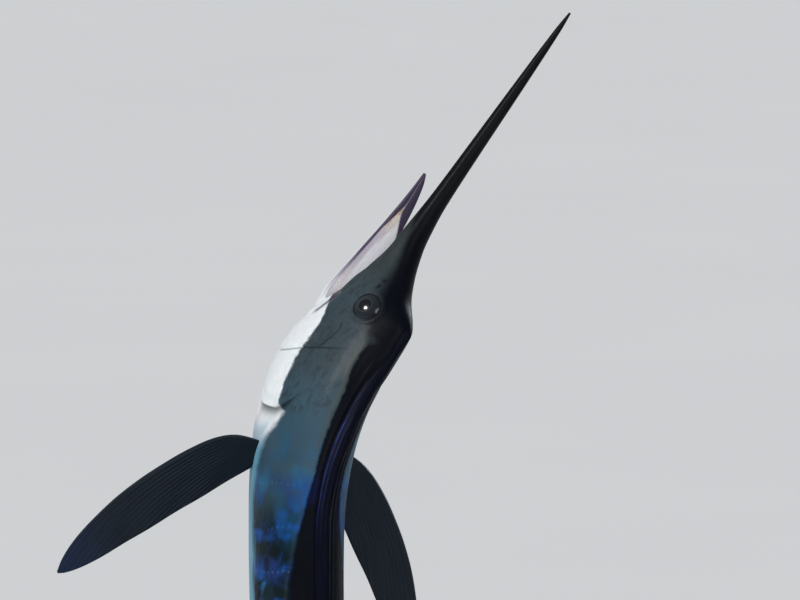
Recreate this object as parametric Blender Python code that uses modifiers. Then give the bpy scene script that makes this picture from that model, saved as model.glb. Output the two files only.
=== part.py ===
"""Sailfish, a still life-size model in a leaping pose, held head up by two rods on a flat base.

The fish is designed straight, in three lengths: s along its axis from the tip of the bill, y to its
left and z towards its back. One function, place(), then bends and rolls that straight fish into the
pose. The origin is the middle of the base's underside, +Z is up, and the back faces -Y.
"""
import math

import bmesh
import bpy
import numpy as np
from mathutils import Matrix, Vector

# Sizes of the fish, in metres.
JAW_TIP_S = 0.310
HINGE_S = 0.552
GILL_EDGE_S = 0.700
STALK_END_S = 2.055
FORK_S = 2.125
TAIL_TIP_S = 2.325
TAIL_HALF_SPAN = 0.335
SAIL_START_S = 0.495
SAIL_SPLIT_S = 0.960
SAIL_END_S = 1.700
EYE_S = 0.519
EYE_Z = 0.043
EYE_RADIUS = 0.0245
EYE_HALF_DEPTH = 0.0140
EYE_SUNK = 0.0085
NOSTRIL_S = 0.474
NOSTRIL_Z = 0.034
NOSTRIL_SPACING = 0.011
NOSTRIL_DEPTH = 0.003
NOSTRIL_HEIGHT = 0.0018
KEEL_HEIGHT = 0.0050
LIP_HEIGHT = 0.0022
PECTORAL_LENGTH = 0.353
PECTORAL_S = 0.745
PECTORAL_Z = -0.036
PELVIC_LENGTH = 0.500
HEAD_START_S = 0.385
TORSO_SEAMS = (GILL_EDGE_S, 1.10, 1.50, 1.82, STALK_END_S)
TORSO_NAMES = ("torso_front", "torso_middle", "torso_rear", "tail_stalk")
RING_SPACING = 0.030
HEAD_SPACING = 0.016
GAP = 0.0003
EDGE_HALF = 0.00028

# Body outline: s, height of the back, depth of the lower edge, half width. The bill comes first.
# Ahead of the hinge the lower edge is the upper jaw's; behind it, the throat's and the belly's.
BACK = ((0.0, 0.0016), (0.03, 0.0042), (0.15, 0.0083), (0.24, 0.0107), (0.33, 0.0140), (0.39, 0.0215),
        (0.43, 0.0350), (0.467, 0.0560), (0.50, 0.0840), (0.525, 0.0950), (0.56, 0.0985), (0.61, 0.1010),
        (0.70, 0.1040), (0.80, 0.1070), (1.0, 0.1070), (1.3, 0.1000), (1.5, 0.0870), (1.7, 0.0660),
        (1.85, 0.0470), (1.95, 0.0340), (2.02, 0.0250), (STALK_END_S, 0.0210))
UPPER_JAW = ((0.0, -0.0016), (0.03, -0.0042), (0.15, -0.0083), (0.24, -0.0107), (0.33, -0.0130),
             (0.39, -0.0160), (0.43, -0.0175), (0.467, -0.0240), (0.50, -0.0340), (HINGE_S, -0.0430))
BELLY = ((HINGE_S, -0.0670), (0.61, -0.0980), (0.70, -0.1080), (0.80, -0.1080), (1.0, -0.1040),
         (1.3, -0.0970), (1.5, -0.0870), (1.7, -0.0650), (1.85, -0.0470), (1.95, -0.0340),
         (2.02, -0.0250), (STALK_END_S, -0.0210))
HALF_WIDTH = ((0.0, 0.0016), (0.03, 0.0042), (0.15, 0.0083), (0.24, 0.0107), (0.33, 0.0140), (0.39, 0.0195),
              (0.43, 0.0250), (0.467, 0.0320), (0.50, 0.0395), (0.54, 0.0460), (0.61, 0.0545),
              (0.70, 0.0605), (0.80, 0.0615), (1.0, 0.0600), (1.3, 0.0560), (1.5, 0.0480), (1.7, 0.0360),
              (1.85, 0.0260), (1.95, 0.0195), (2.02, 0.0140), (STALK_END_S, 0.0100))

# Height at which the body is widest.
MIDDLE = ((0.0, 0.0), (0.33, 0.0005), (0.39, 0.0020), (0.43, 0.0060), (0.467, 0.0100), (0.50, 0.0110),
          (HINGE_S, 0.0040), (0.61, -0.0050), (0.70, -0.0090), (0.80, -0.0070), (1.0, -0.0030),
          (1.5, 0.0), (STALK_END_S, 0.0))

# Pose: how the straight axis bends to the fish's right, how it rolls, and how it leans back.
BILL_ANGLE = math.radians(35.0)
NECK_START_S = 0.47
NECK_END_S = 0.90
TAIL_ANGLE = math.radians(16.0)
TAIL_BEND_START_S = 1.15
TAIL_BEND_END_S = 2.10
HEAD_ROLL = math.radians(46.0)
BODY_ROLL = math.radians(21.0)
ROLL_START_S = 0.50
ROLL_LENGTH = 0.38
LEAN = math.radians(8.0)
JAW_OPEN = math.radians(13.9)
LEFT_SWEEP = math.radians(40.0)
RIGHT_SWEEP = math.radians(49.5)

# Stand.
BASE_LENGTH = 0.86
BASE_WIDTH = 0.66
BASE_THICK = 0.045
TAIL_CLEARANCE = 0.030
TAIL_ROD_RADIUS = 0.012
TAIL_ROD_GRIP = 0.014
BELLY_ROD_RADIUS = 0.012
BELLY_ROD_S = 1.42
BELLY_ROD_SIDE = 0.022
BELLY_ROD_FOOT_X = 0.06
BELLY_ROD_FOOT_Y = 0.27
FISH_X = -0.035
FISH_Y = -0.045

# Finish of each piece: colour, roughness, metallic.
FINISHES = {
    "bill": ((0.013, 0.014, 0.017), 0.35, 0.0),
    "lower_jaw": ((0.50, 0.36, 0.34), 0.40, 0.0),
    "head": ((0.080, 0.102, 0.115), 0.35, 0.0),
    "eye_left": ((0.006, 0.009, 0.020), 0.08, 0.0),
    "eye_right": ((0.006, 0.009, 0.020), 0.08, 0.0),
    "torso_front": ((0.045, 0.088, 0.140), 0.32, 0.1),
    "torso_middle": ((0.050, 0.095, 0.150), 0.32, 0.1),
    "torso_rear": ((0.055, 0.100, 0.150), 0.32, 0.1),
    "tail_stalk": ((0.060, 0.085, 0.110), 0.34, 0.1),
    "first_dorsal_front": ((0.003, 0.005, 0.014), 0.40, 0.0),
    "first_dorsal_rear": ((0.003, 0.005, 0.014), 0.40, 0.0),
    "second_dorsal": ((0.008, 0.012, 0.024), 0.42, 0.0),
    "first_anal": ((0.060, 0.075, 0.100), 0.42, 0.0),
    "second_anal": ((0.020, 0.026, 0.040), 0.42, 0.0),
    "pectoral_left": ((0.010, 0.013, 0.024), 0.42, 0.0),
    "pectoral_right": ((0.014, 0.016, 0.020), 0.42, 0.0),
    "pelvic_left": ((0.007, 0.008, 0.012), 0.42, 0.0),
    "pelvic_right": ((0.007, 0.008, 0.012), 0.42, 0.0),
    "caudal_upper": ((0.010, 0.014, 0.024), 0.42, 0.0),
    "caudal_lower": ((0.010, 0.014, 0.024), 0.42, 0.0),
    "stand_base": ((0.110, 0.060, 0.035), 0.40, 0.0),
    "stand_rod_tail": ((0.55, 0.55, 0.56), 0.30, 1.0),
    "stand_rod_belly": ((0.55, 0.55, 0.56), 0.30, 1.0),
}

RING_POINTS = 32
BILL_POINTS = 16
JAW_POINTS = 24
AXIS_STEP = 0.001


def smooth(value):
    """Rise from 0 to 1 with flat ends."""
    value = np.clip(value, 0.0, 1.0)
    return value * value * (3.0 - 2.0 * value)


def curve(stations):
    """Return a smooth function through a few (position, value) stations."""
    xs = np.array([point[0] for point in stations])
    ys = np.array([point[1] for point in stations])
    slopes = np.diff(ys) / np.diff(xs)
    tangents = np.empty(len(xs))
    tangents[0] = slopes[0]
    tangents[-1] = slopes[-1]
    for index in range(1, len(xs) - 1):
        before, after = slopes[index - 1], slopes[index]
        tangents[index] = 0.0 if before * after <= 0.0 else 2.0 * before * after / (before + after)

    def value(x):
        index = int(np.clip(np.searchsorted(xs, x) - 1, 0, len(xs) - 2))
        width = xs[index + 1] - xs[index]
        t = float(np.clip((x - xs[index]) / width, 0.0, 1.0))
        low = (2 * t ** 3 - 3 * t ** 2 + 1) * ys[index] + (t ** 3 - 2 * t ** 2 + t) * width * tangents[index]
        high = (3 * t ** 2 - 2 * t ** 3) * ys[index + 1] + (t ** 3 - t ** 2) * width * tangents[index + 1]
        return float(low + high)

    return value


back = curve(BACK)
upper_jaw = curve(UPPER_JAW)
belly = curve(BELLY)
half_width = curve(HALF_WIDTH)
middle_height = curve(MIDDLE)


def bend_angle(s):
    """Angle of the axis from the vertical, to the right going up."""
    neck = BILL_ANGLE * (1.0 - smooth((s - NECK_START_S) / (NECK_END_S - NECK_START_S)))
    tail = TAIL_ANGLE * smooth((s - TAIL_BEND_START_S) / (TAIL_BEND_END_S - TAIL_BEND_START_S))
    return neck - tail


def roll_angle(s):
    """Angle of the back from the viewer's side towards the right."""
    blend = smooth((s - ROLL_START_S) / ROLL_LENGTH)
    return HEAD_ROLL + (BODY_ROLL - HEAD_ROLL) * blend


def axis_table():
    """Points of the bent axis, one each millimetre, from the bill's tip down."""
    count = int(2.5 / AXIS_STEP) + 1
    lengths = np.arange(count) * AXIS_STEP
    angles = bend_angle(lengths)
    steps = np.stack([-np.sin(angles), np.zeros(count), -np.cos(angles)], axis=1) * AXIS_STEP
    points = np.vstack([np.zeros(3), np.cumsum(0.5 * (steps[1:] + steps[:-1]), axis=0)])
    return points - points[int(1.0 / AXIS_STEP)]


AXIS = axis_table()
AXIS_LENGTHS = np.arange(len(AXIS)) * AXIS_STEP


def bent(s, y, z):
    """Bend and lean a point of the straight fish, before it is set over the base."""
    centre = [np.interp(s, AXIS_LENGTHS, AXIS[:, k]) for k in range(3)]
    angle, roll = bend_angle(s), roll_angle(s)
    right = Vector((math.cos(angle), 0.0, -math.sin(angle)))
    near = Vector((0.0, -1.0, 0.0))
    up = near * math.cos(roll) + right * math.sin(roll)
    left = near * math.sin(roll) - right * math.cos(roll)
    point = Vector(centre) + left * y + up * z
    return Matrix.Rotation(-LEAN, 3, "X") @ point


def lowest_tail_point():
    """Height of the lower of the two lobe tips before the fish is set over the base."""
    return min(bent(TAIL_TIP_S, 0.0, side * TAIL_HALF_SPAN).z for side in (-1.0, 1.0))


SET_DOWN = Vector((FISH_X, FISH_Y, BASE_THICK + TAIL_CLEARANCE - lowest_tail_point()))


def place(s, y, z):
    """World position of a point of the straight fish."""
    return bent(s, y, z) + SET_DOWN


def frame_at(s):
    """World directions towards the tail, the fish's left and its back."""
    origin = place(s, 0.0, 0.0)
    tailward = (place(s + 0.001, 0.0, 0.0) - place(s - 0.001, 0.0, 0.0)).normalized()
    return tailward, (place(s, 1.0, 0.0) - origin).normalized(), (place(s, 0.0, 1.0) - origin).normalized()


def orient(mesh):
    """Turn the faces of a closed mesh outwards."""
    shape = bmesh.new()
    shape.from_mesh(mesh)
    if shape.calc_volume(signed=True) < 0.0:
        bmesh.ops.reverse_faces(shape, faces=shape.faces)
    shape.to_mesh(mesh)
    shape.free()


def new_object(name, mesh):
    """Link a mesh to the scene, its faces turned outwards."""
    orient(mesh)
    piece = bpy.data.objects.new(name, mesh)
    bpy.context.scene.collection.objects.link(piece)
    return piece


def mesh_object(name, points, faces):
    """Make an object from points and faces."""
    mesh = bpy.data.meshes.new(name)
    mesh.from_pydata([tuple(point) for point in points], [], faces)
    mesh.validate()
    return new_object(name, mesh)


def cap(start, count, flip):
    """Triangles that close a ring by strips from its left side to its right side."""
    faces = [(start, start + 1, start + count - 1)]
    for k in range(1, count // 2):
        left, lower_left = start + k, start + k + 1
        right, lower_right = start + count - k, start + count - k - 1
        faces.append((left, lower_left, right))
        if lower_left != lower_right:
            faces.append((lower_left, lower_right, right))
    return [face[::-1] for face in faces] if flip else faces


def loft(name, rings):
    """Join rings of equal point count into one closed body."""
    count = len(rings[0])
    points = [point for ring in rings for point in ring]
    faces = cap(0, count, False)
    for row in range(len(rings) - 1):
        low, high = row * count, (row + 1) * count
        for k in range(count):
            after = (k + 1) % count
            faces.append((low + k, high + k, high + after))
            faces.append((low + k, high + after, low + after))
    faces += cap((len(rings) - 1) * count, count, True)
    return mesh_object(name, points, faces)


def blade(name, centre, half, chord_steps, span_steps):
    """Closed thin fin: centre(u, v) gives a point and its normal, half(u, v) the half thickness."""
    sides = ([], [])
    for row in range(span_steps + 1):
        for column in range(chord_steps + 1):
            u, v = column / chord_steps, row / span_steps
            point, normal = centre(u, v)
            sides[0].append(point + normal * half(u, v))
            sides[1].append(point - normal * half(u, v))
    width = chord_steps + 1
    offset = len(sides[0])
    faces = []
    for row in range(span_steps):
        for column in range(chord_steps):
            a = row * width + column
            b, c, d = a + 1, a + width + 1, a + width
            faces += [(a, b, c), (a, c, d)]
            faces += [(offset + a, offset + c, offset + b), (offset + a, offset + d, offset + c)]
    rim = [column for column in range(width)]
    rim += [row * width + chord_steps for row in range(1, span_steps + 1)]
    rim += [span_steps * width + column for column in range(chord_steps - 1, -1, -1)]
    rim += [row * width for row in range(span_steps - 1, 0, -1)]
    for index, a in enumerate(rim):
        b = rim[(index + 1) % len(rim)]
        faces += [(a, offset + a, b), (offset + a, offset + b, b)]
    return mesh_object(name, sides[0] + sides[1], faces)


def combine(piece, other, operation="DIFFERENCE"):
    """Cut one closed mesh by another or join the two, then drop the other and any loose scrap."""
    modifier = piece.modifiers.new("combine", "BOOLEAN")
    modifier.operation = operation
    modifier.object = other
    apply_modifiers(piece)
    keep_largest(piece)


def apply_modifiers(piece):
    """Replace a piece's mesh by its evaluated mesh."""
    graph = bpy.context.evaluated_depsgraph_get()
    mesh = bpy.data.meshes.new_from_object(piece.evaluated_get(graph))
    piece.modifiers.clear()
    old = piece.data
    piece.data = mesh
    bpy.data.meshes.remove(old)


def keep_largest(piece):
    """Drop every closed surface of a mesh but the one that spans the most."""
    shape = bmesh.new()
    shape.from_mesh(piece.data)
    unseen = set(shape.verts)
    shells = []
    while unseen:
        shell, border = set(), [unseen.pop()]
        while border:
            vertex = border.pop()
            shell.add(vertex)
            for edge in vertex.link_edges:
                other = edge.other_vert(vertex)
                if other in unseen:
                    unseen.discard(other)
                    border.append(other)
        shells.append(shell)
    shells.sort(key=len)
    for shell in shells[:-1]:
        bmesh.ops.delete(shape, geom=list(shell), context="VERTS")
    bmesh.ops.triangulate(shape, faces=shape.faces)
    shape.to_mesh(piece.data)
    shape.free()


def cutter_object(piece):
    """Mark a piece as a cutter."""
    piece.display_type = "WIRE"
    piece.hide_render = True
    return piece


def opercle_shift(s, height):
    """How far the seam behind the gill cover leans forward above and below the flank."""
    reach = -0.080 * smooth(height) if height > 0.0 else -0.045 * smooth(-height) ** 2
    if s < GILL_EDGE_S:
        return reach * smooth((s - 0.560) / (GILL_EDGE_S - 0.560))
    return reach * (1.0 - smooth((s - GILL_EDGE_S) / 0.25))


def outline_point(s, turn, lower, grow=0.0, ease=1.0):
    """Point of the body's skin: turn goes from 0 at the back down the left side to 0.5 at the belly."""
    angle = 2.0 * math.pi * turn
    height = math.cos(angle)
    across = math.sin(angle)
    shifted = s + ease * opercle_shift(s, height)
    top, bottom, wide = back(shifted) + grow, lower(shifted) - grow, half_width(shifted) + grow
    middle = middle_height(shifted)
    power = 1.0 if shifted < 0.36 else 0.92
    across = math.copysign(abs(across) ** power, across)
    reach = (top - middle) if height > 0.0 else (middle - bottom)
    return shifted, wide * across, middle + reach * height


def flank(s, z, lower=belly):
    """Half width of the skin at a height z."""
    low, high = 0.0, 0.5
    for _ in range(30):
        turn = 0.5 * (low + high)
        if outline_point(s, turn, lower, ease=0.0)[2] > z:
            low = turn
        else:
            high = turn
    return outline_point(s, low, lower, ease=0.0)[1]


def gill_lip(s, turn):
    """Raised rim of the gill cover, on the flanks only, fading forwards."""
    height = math.cos(2.0 * math.pi * turn)
    flank = smooth((0.62 - abs(height + 0.12)) / 0.40)
    return 0.0026 * flank * smooth((s - (GILL_EDGE_S - 0.07)) / 0.07)


def keel(s, turn):
    """Two low keels on each side of the tail's root."""
    height = abs(math.cos(2.0 * math.pi * turn))
    run = smooth((s - 1.955) / 0.05) * (1.0 - 0.7 * smooth((s - 2.025) / 0.03))
    return KEEL_HEIGHT * run * smooth(1.0 - abs(height - 0.38) / 0.19)


def upper_lip(s, turn):
    """Raised edge of the upper jaw, along the line of the mouth and under the eye."""
    height = math.cos(2.0 * math.pi * turn)
    run = smooth((s - 0.42) / 0.05) * (1.0 - smooth((s - 0.585) / 0.03))
    return LIP_HEIGHT * run * smooth(1.0 - abs(height + 0.74) / 0.22)


def body_ring(s, lower=belly, grow=0.0, lip=False, count=RING_POINTS):
    """Ring of world points round the body at s."""
    ring = []
    for k in range(count):
        turn = k / count
        shifted, across, height = outline_point(s, turn, lower, grow)
        raised = keel(s, turn) + upper_lip(s, turn) + (gill_lip(s, turn) if lip else 0.0)
        across += math.copysign(raised, across)
        ring.append(place(shifted, across, height))
    return ring


def stations(start, end, spacing):
    """Evenly spaced positions from start to end."""
    count = max(1, round((end - start) / spacing))
    return [start + (end - start) * k / count for k in range(count + 1)]


def make_bill():
    """Round bill, tapering to its tip."""
    spots = [0.0, 0.004, 0.012, 0.03] + stations(0.06, HEAD_START_S - GAP / 2, 0.0325)
    return loft("bill", [body_ring(s, upper_jaw, count=BILL_POINTS) for s in spots])


def upper_head_stations():
    """Positions of the rings from the bill's root to just ahead of the hinge."""
    return stations(HEAD_START_S + GAP / 2, HINGE_S - 0.0005, HEAD_SPACING)


def make_head():
    """Head behind the bill: upper jaw, cheeks, gill covers and nape."""
    rings = [body_ring(s, upper_jaw) for s in upper_head_stations()]
    rings += [body_ring(s, belly, lip=True) for s in stations(HINGE_S, GILL_EDGE_S - GAP / 2, HEAD_SPACING)]
    return loft("head", rings)


def make_torso(name, start, end):
    """One length of the body."""
    return loft(name, [body_ring(s) for s in stations(start + GAP / 2, end - GAP / 2, RING_SPACING)])


def make_lower_jaw():
    """Lower jaw, open, with the hollow of the mouth along its upper face."""
    rings = []
    for step, s in enumerate(stations(0.0, 1.0, 1.0 / 14)):
        station = JAW_TIP_S + (HINGE_S - 2 * GAP - JAW_TIP_S) * s
        run = HINGE_S - station
        drop = math.tan(JAW_OPEN) * (run - 0.03 * smooth(run / 0.09)) if run > 0.0 else 0.0
        top = upper_jaw(HINGE_S) - GAP + (0.0415 * smooth(1.0 - s) if s < 1.0 else 0.0) - drop
        depth = 0.003 + (abs(belly(HINGE_S) - upper_jaw(HINGE_S)) - 0.003) * s ** 0.98
        wide = 0.0022 + (half_width(HINGE_S) * 0.82 - 0.0022) * s ** 0.78
        hollow = 0.42 * depth * smooth(s / 0.12) * smooth((1.0 - s) / 0.10)
        ring = []
        for k in range(JAW_POINTS):
            angle = 2.0 * math.pi * k / JAW_POINTS
            height, across = math.cos(angle), math.sin(angle)
            if height > 0.0:
                inner = 1.0 - abs(across) ** 2.5
                z = top - hollow * inner
            else:
                z = top + depth * height
            ring.append(place(station, wide * across, z - 0.02 * depth * abs(across)))
        rings.append(ring)
    return loft("lower_jaw", rings)


def eye_solid(name, side, grow=0.0):
    """Flattened eyeball at its place, or its socket, larger by grow."""
    shape = bmesh.new()
    bmesh.ops.create_uvsphere(shape, u_segments=16, v_segments=10, radius=1.0)
    mesh = bpy.data.meshes.new(name)
    shape.to_mesh(mesh)
    shape.free()
    for vertex in mesh.vertices:
        x, y, z = vertex.co
        s, height = EYE_S + x * EYE_RADIUS, EYE_Z + y * EYE_RADIUS
        skin = flank(s, height, upper_jaw) - EYE_SUNK
        vertex.co = place(s + x * grow, side * (skin + z * (EYE_HALF_DEPTH + grow)), height + y * grow)
    return new_object(name, mesh)


def nostril(name, side, s, length):
    """Small pit in front of the eye, cut by an ellipsoid on the skin."""
    shape = bmesh.new()
    bmesh.ops.create_uvsphere(shape, u_segments=8, v_segments=4, radius=1.0)
    mesh = bpy.data.meshes.new(name)
    shape.to_mesh(mesh)
    shape.free()
    skin = flank(s, NOSTRIL_Z, upper_jaw)
    for vertex in mesh.vertices:
        x, y, z = vertex.co
        vertex.co = place(s + x * length, side * (skin + z * NOSTRIL_DEPTH), NOSTRIL_Z + y * NOSTRIL_HEIGHT)
    return new_object(name, mesh)


def eye_rim(name, side):
    """Ring of raised skin round an eye."""
    bpy.ops.mesh.primitive_torus_add(major_segments=20, minor_segments=6, major_radius=EYE_RADIUS * 0.99,
                                     minor_radius=0.0028)
    ring = bpy.context.object
    ring.name = name
    mesh = ring.data
    for vertex in mesh.vertices:
        s, z = EYE_S + vertex.co.x, EYE_Z + vertex.co.y
        skin = flank(s, z, upper_jaw)
        vertex.co = place(s, side * (skin + vertex.co.z), z)
    orient(mesh)
    return ring


def ridge(u, rays, relief):
    """Half the height of a ray ridge across a fin."""
    return relief * (0.5 - 0.5 * math.cos(2.0 * math.pi * rays * u))


def midline_fin(name, lead, trail, rays, spans, thick, relief):
    """Fin in the fish's own middle plane, between a leading and a trailing edge in (s, z)."""
    def centre(u, v):
        (s0, z0), (s1, z1) = lead(v), trail(v)
        s, z = s0 + (s1 - s0) * u, z0 + (z1 - z0) * u
        return place(s, 0.0, z), frame_at(s)[1]

    def half(u, v):
        body = thick * (1.0 - v) ** 0.8 * (math.sin(math.pi * min(1.0, u * 0.9 + 0.08)) ** 0.5)
        fade = smooth(u / 0.08) * smooth((1.0 - u) / 0.08) * smooth((1.0 - v) / 0.12)
        return EDGE_HALF + body * fade + ridge(u, rays, relief) * fade

    return blade(name, centre, half, rays * 2, spans)


def caudal_lobe(name, side, grow=0.0):
    """One lobe of the tail fin, from the middle plane out to its tip."""
    stem = 0.07
    inner = GAP / 2 - grow

    def lead(v):
        if v <= stem:
            return STALK_END_S + GAP, side * (inner + (0.0208 - inner) * v / stem)
        t = (v - stem) / (1.0 - stem)
        return (STALK_END_S + GAP + (TAIL_TIP_S - STALK_END_S - GAP) * (0.62 * t + 0.38 * t ** 2.2),
                side * (0.0208 + (TAIL_HALF_SPAN - 0.0208) * t ** 0.96))

    def trail(v):
        return (FORK_S + grow + (TAIL_TIP_S + 0.004 - FORK_S) * (0.56 * v + 0.44 * v ** 2.6),
                side * (inner + (TAIL_HALF_SPAN - 0.002 - inner) * v ** 1.05))

    def centre(u, v):
        (s0, z0), (s1, z1) = lead(v), trail(v)
        s, z = s0 + (s1 - s0) * u, z0 + (z1 - z0) * u
        return place(s, 0.0, z), frame_at(s)[1]

    def half(u, v):
        flesh = 0.0085 * (1.0 - u) ** 1.5 * (1.0 - v) ** 7 + 0.0035 * (1.0 - v) ** 3
        blade_half = 0.0028 * (1.0 - v) ** 0.7 * (1.0 - 0.75 * u)
        fade = smooth((1.0 - v) / 0.10)
        edge = smooth(u / 0.05) if v > stem else 1.0
        rays = ridge(u, 8, 0.0007) * smooth(u / 0.08) * smooth((1.0 - u) / 0.08)
        return EDGE_HALF + grow + (flesh + blade_half * edge + rays) * fade

    return blade(name, centre, half, 16, 14)


def dorsal_sail(name, spots):
    """Length of the folded sail: a low bundle of rays along the back, standing up at the nape."""
    rise = curve(((SAIL_START_S, 0.002), (0.508, 0.0130), (0.522, 0.0170), (0.56, 0.0150), (0.90, 0.0130),
                  (1.30, 0.0110), (1.60, 0.0070), (SAIL_END_S, 0.0015)))
    spread = curve(((SAIL_START_S, 0.004), (0.53, 0.0110), (0.65, 0.0125), (1.10, 0.0110),
                    (1.50, 0.0075), (SAIL_END_S, 0.0030)))
    rings = []
    columns = 8
    for s in spots:
        top, wide = back(s), spread(s)
        ring = []
        for k in range(columns + 1):
            across = 1.0 - 2.0 * k / columns
            groove = 0.0016 * smooth(rise(s) / 0.010) if k % 2 else 0.0
            ring.append(place(s, wide * across, top + rise(s) * (1.0 - abs(across) ** 2.6) - groove))
        for k in range(columns - 1, 0, -1):
            across = 1.0 - 2.0 * k / columns
            ring.append(place(s, wide * across, top - 0.020))
        rings.append(ring)
    points = [point for ring in rings for point in ring]
    count = len(rings[0])
    faces = []
    for row in range(len(rings) - 1):
        low, high = row * count, (row + 1) * count
        for k in range(count):
            after = (k + 1) % count
            faces.append((low + k, high + k, high + after))
            faces.append((low + k, high + after, low + after))
    for start, flip in ((0, False), ((len(rings) - 1) * count, True)):
        for k in range(columns):
            upper, upper_next = start + k, start + k + 1
            lower, lower_next = start + (count - k) % count, start + count - k - 1
            face = [upper, upper_next, lower_next, lower]
            face = list(dict.fromkeys(face))
            faces.append(face[::-1] if flip else face)
    return mesh_object(name, points, faces)


def pectoral(name, side, sweep, root_s, root_z):
    """Long pectoral fin, spread from the flank and swept back by the given angle."""
    lead = curve(((0.0, 0.036), (0.15, 0.051), (0.30, 0.060), (0.48, 0.061), (0.62, 0.056),
                  (0.79, 0.042), (0.93, 0.0215), (1.0, 0.002)))
    trail = curve(((0.0, -0.0235), (0.20, -0.018), (0.48, -0.015), (0.79, -0.014), (0.95, -0.0085),
                   (1.0, -0.001)))
    tailward, left, up = frame_at(root_s)
    out = left * side
    along = (out * math.cos(sweep) + tailward * math.sin(sweep)).normalized()
    forward = (out * math.sin(sweep) - tailward * math.cos(sweep)).normalized()
    root = place(root_s, side * (half_width(root_s) - 0.022), root_z)
    normal = along.cross(forward).normalized()
    rays = 9

    def centre(u, v):
        width = lead(v) + (trail(v) - lead(v)) * u
        bow = 0.020 * v * v
        twist = math.radians(14.0) * (1.0 - v)
        across = forward * math.cos(twist) + up * math.sin(twist)
        point = root + along * (v * (PECTORAL_LENGTH + 0.022)) + across * width - up * bow
        return point, normal

    def half(u, v):
        edge = smooth(u / 0.06) * smooth((1.0 - u) / 0.06)
        body = (0.0050 * (1.0 - v) ** 2 + 0.0022 * (1.0 - v) ** 0.6) * (1.0 - 0.6 * u)
        return EDGE_HALF + (body + ridge(u, rays, 0.0006)) * edge * smooth((1.0 - v) / 0.08)

    return blade(name, centre, half, rays * 2, 12)


def pelvic(name, side):
    """Long narrow pelvic fin, trailing from the belly."""
    start_s = 0.800

    def centre(u, v):
        s = start_s + PELVIC_LENGTH * v
        wide = 0.0075 * (1.0 - 0.75 * v) * (1.0 - 2.0 * u)
        drop = belly(s) + 0.010 - 0.058 * (1.0 - (1.0 - v) ** 2.2)
        return place(s + 0.004 * wide, side * (0.010 + 0.012 * v), drop + wide), frame_at(s)[1]

    def half(u, v):
        edge = smooth(u / 0.2) * smooth((1.0 - u) / 0.2)
        return EDGE_HALF + (0.0016 * (1.0 - 0.6 * v) + ridge(u, 2, 0.0005)) * edge * smooth((1.0 - v) / 0.06)

    return blade(name, centre, half, 6, 14)


def body_cutter():
    """The whole body grown by the gap, to cut the roots of the fins."""
    rings = [body_ring(s, belly, GAP) for s in stations(HINGE_S, GILL_EDGE_S, HEAD_SPACING)]
    for start, end in zip(TORSO_SEAMS, TORSO_SEAMS[1:]):
        rings += [body_ring(s, belly, GAP) for s in stations(start, end, RING_SPACING)[1:]]
    return loft("body_cutter", rings)


def head_cutter():
    """The front of the head grown by the gap, to cut the front of the sail."""
    rings = [body_ring(s, upper_jaw, GAP) for s in upper_head_stations() + [HINGE_S + 0.002]]
    return loft("head_cutter", rings)


def falcate(base_start, base_length, height, side, hook):
    """Edges of a fin with a swept tip: side is 1 on the back and -1 on the belly."""
    surface = back if side > 0 else belly

    def lead(v):
        s = base_start + hook * v ** 1.15
        return s, surface(base_start) - side * 0.008 + side * (height + 0.008) * v

    def trail(v):
        root_s = base_start + base_length
        s = root_s + (base_start + hook + 0.003 - root_s) * (0.15 * v + 0.85 * v ** 0.45 if v > 0 else 0.0)
        z0 = surface(root_s) - side * 0.008
        z1 = surface(base_start) + side * (height - 0.002)
        return s, z0 + (z1 - z0) * v ** 1.9

    return lead, trail


def rounded_slab(name, length, width, thick, radius):
    """Flat slab standing on z = 0 with rounded corners and edges."""
    bpy.ops.mesh.primitive_cube_add(size=1.0, location=(0.0, 0.0, thick / 2))
    slab = bpy.context.object
    slab.name = name
    slab.scale = (length, width, thick)
    bpy.ops.object.transform_apply(location=True, rotation=False, scale=True)
    corners = slab.modifiers.new("corners", "BEVEL")
    corners.width = radius
    corners.segments = 6
    corners.limit_method = "WEIGHT"
    shape = bmesh.new()
    shape.from_mesh(slab.data)
    weight = shape.edges.layers.float.new("bevel_weight_edge")
    for edge in shape.edges:
        direction = edge.verts[0].co - edge.verts[1].co
        edge[weight] = 1.0 if abs(direction.z) > abs(direction.x) + abs(direction.y) else 0.0
    shape.to_mesh(slab.data)
    shape.free()
    rim = slab.modifiers.new("rim", "BEVEL")
    rim.width = 0.006
    rim.segments = 2
    rim.limit_method = "ANGLE"
    rim.angle_limit = math.radians(60.0)
    apply_modifiers(slab)
    return slab


def rod(name, start, end, radius, segments=20):
    """Round rod between two points."""
    direction = end - start
    shape = bmesh.new()
    bmesh.ops.create_cone(shape, cap_ends=True, segments=segments, radius1=radius, radius2=radius,
                          depth=direction.length)
    mesh = bpy.data.meshes.new(name)
    shape.to_mesh(mesh)
    shape.free()
    turn = direction.to_track_quat("Z", "Y").to_matrix().to_4x4()
    mesh.transform(Matrix.Translation((start + end) / 2) @ turn)
    return new_object(name, mesh)


def material(name, colour, roughness, metallic):
    """Plain finish of one piece."""
    finish = bpy.data.materials.new(name + "_finish")
    finish.use_nodes = True
    shader = finish.node_tree.nodes["Principled BSDF"]
    shader.inputs["Base Color"].default_value = (*colour, 1.0)
    shader.inputs["Roughness"].default_value = roughness
    shader.inputs["Metallic"].default_value = metallic
    return finish


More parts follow.
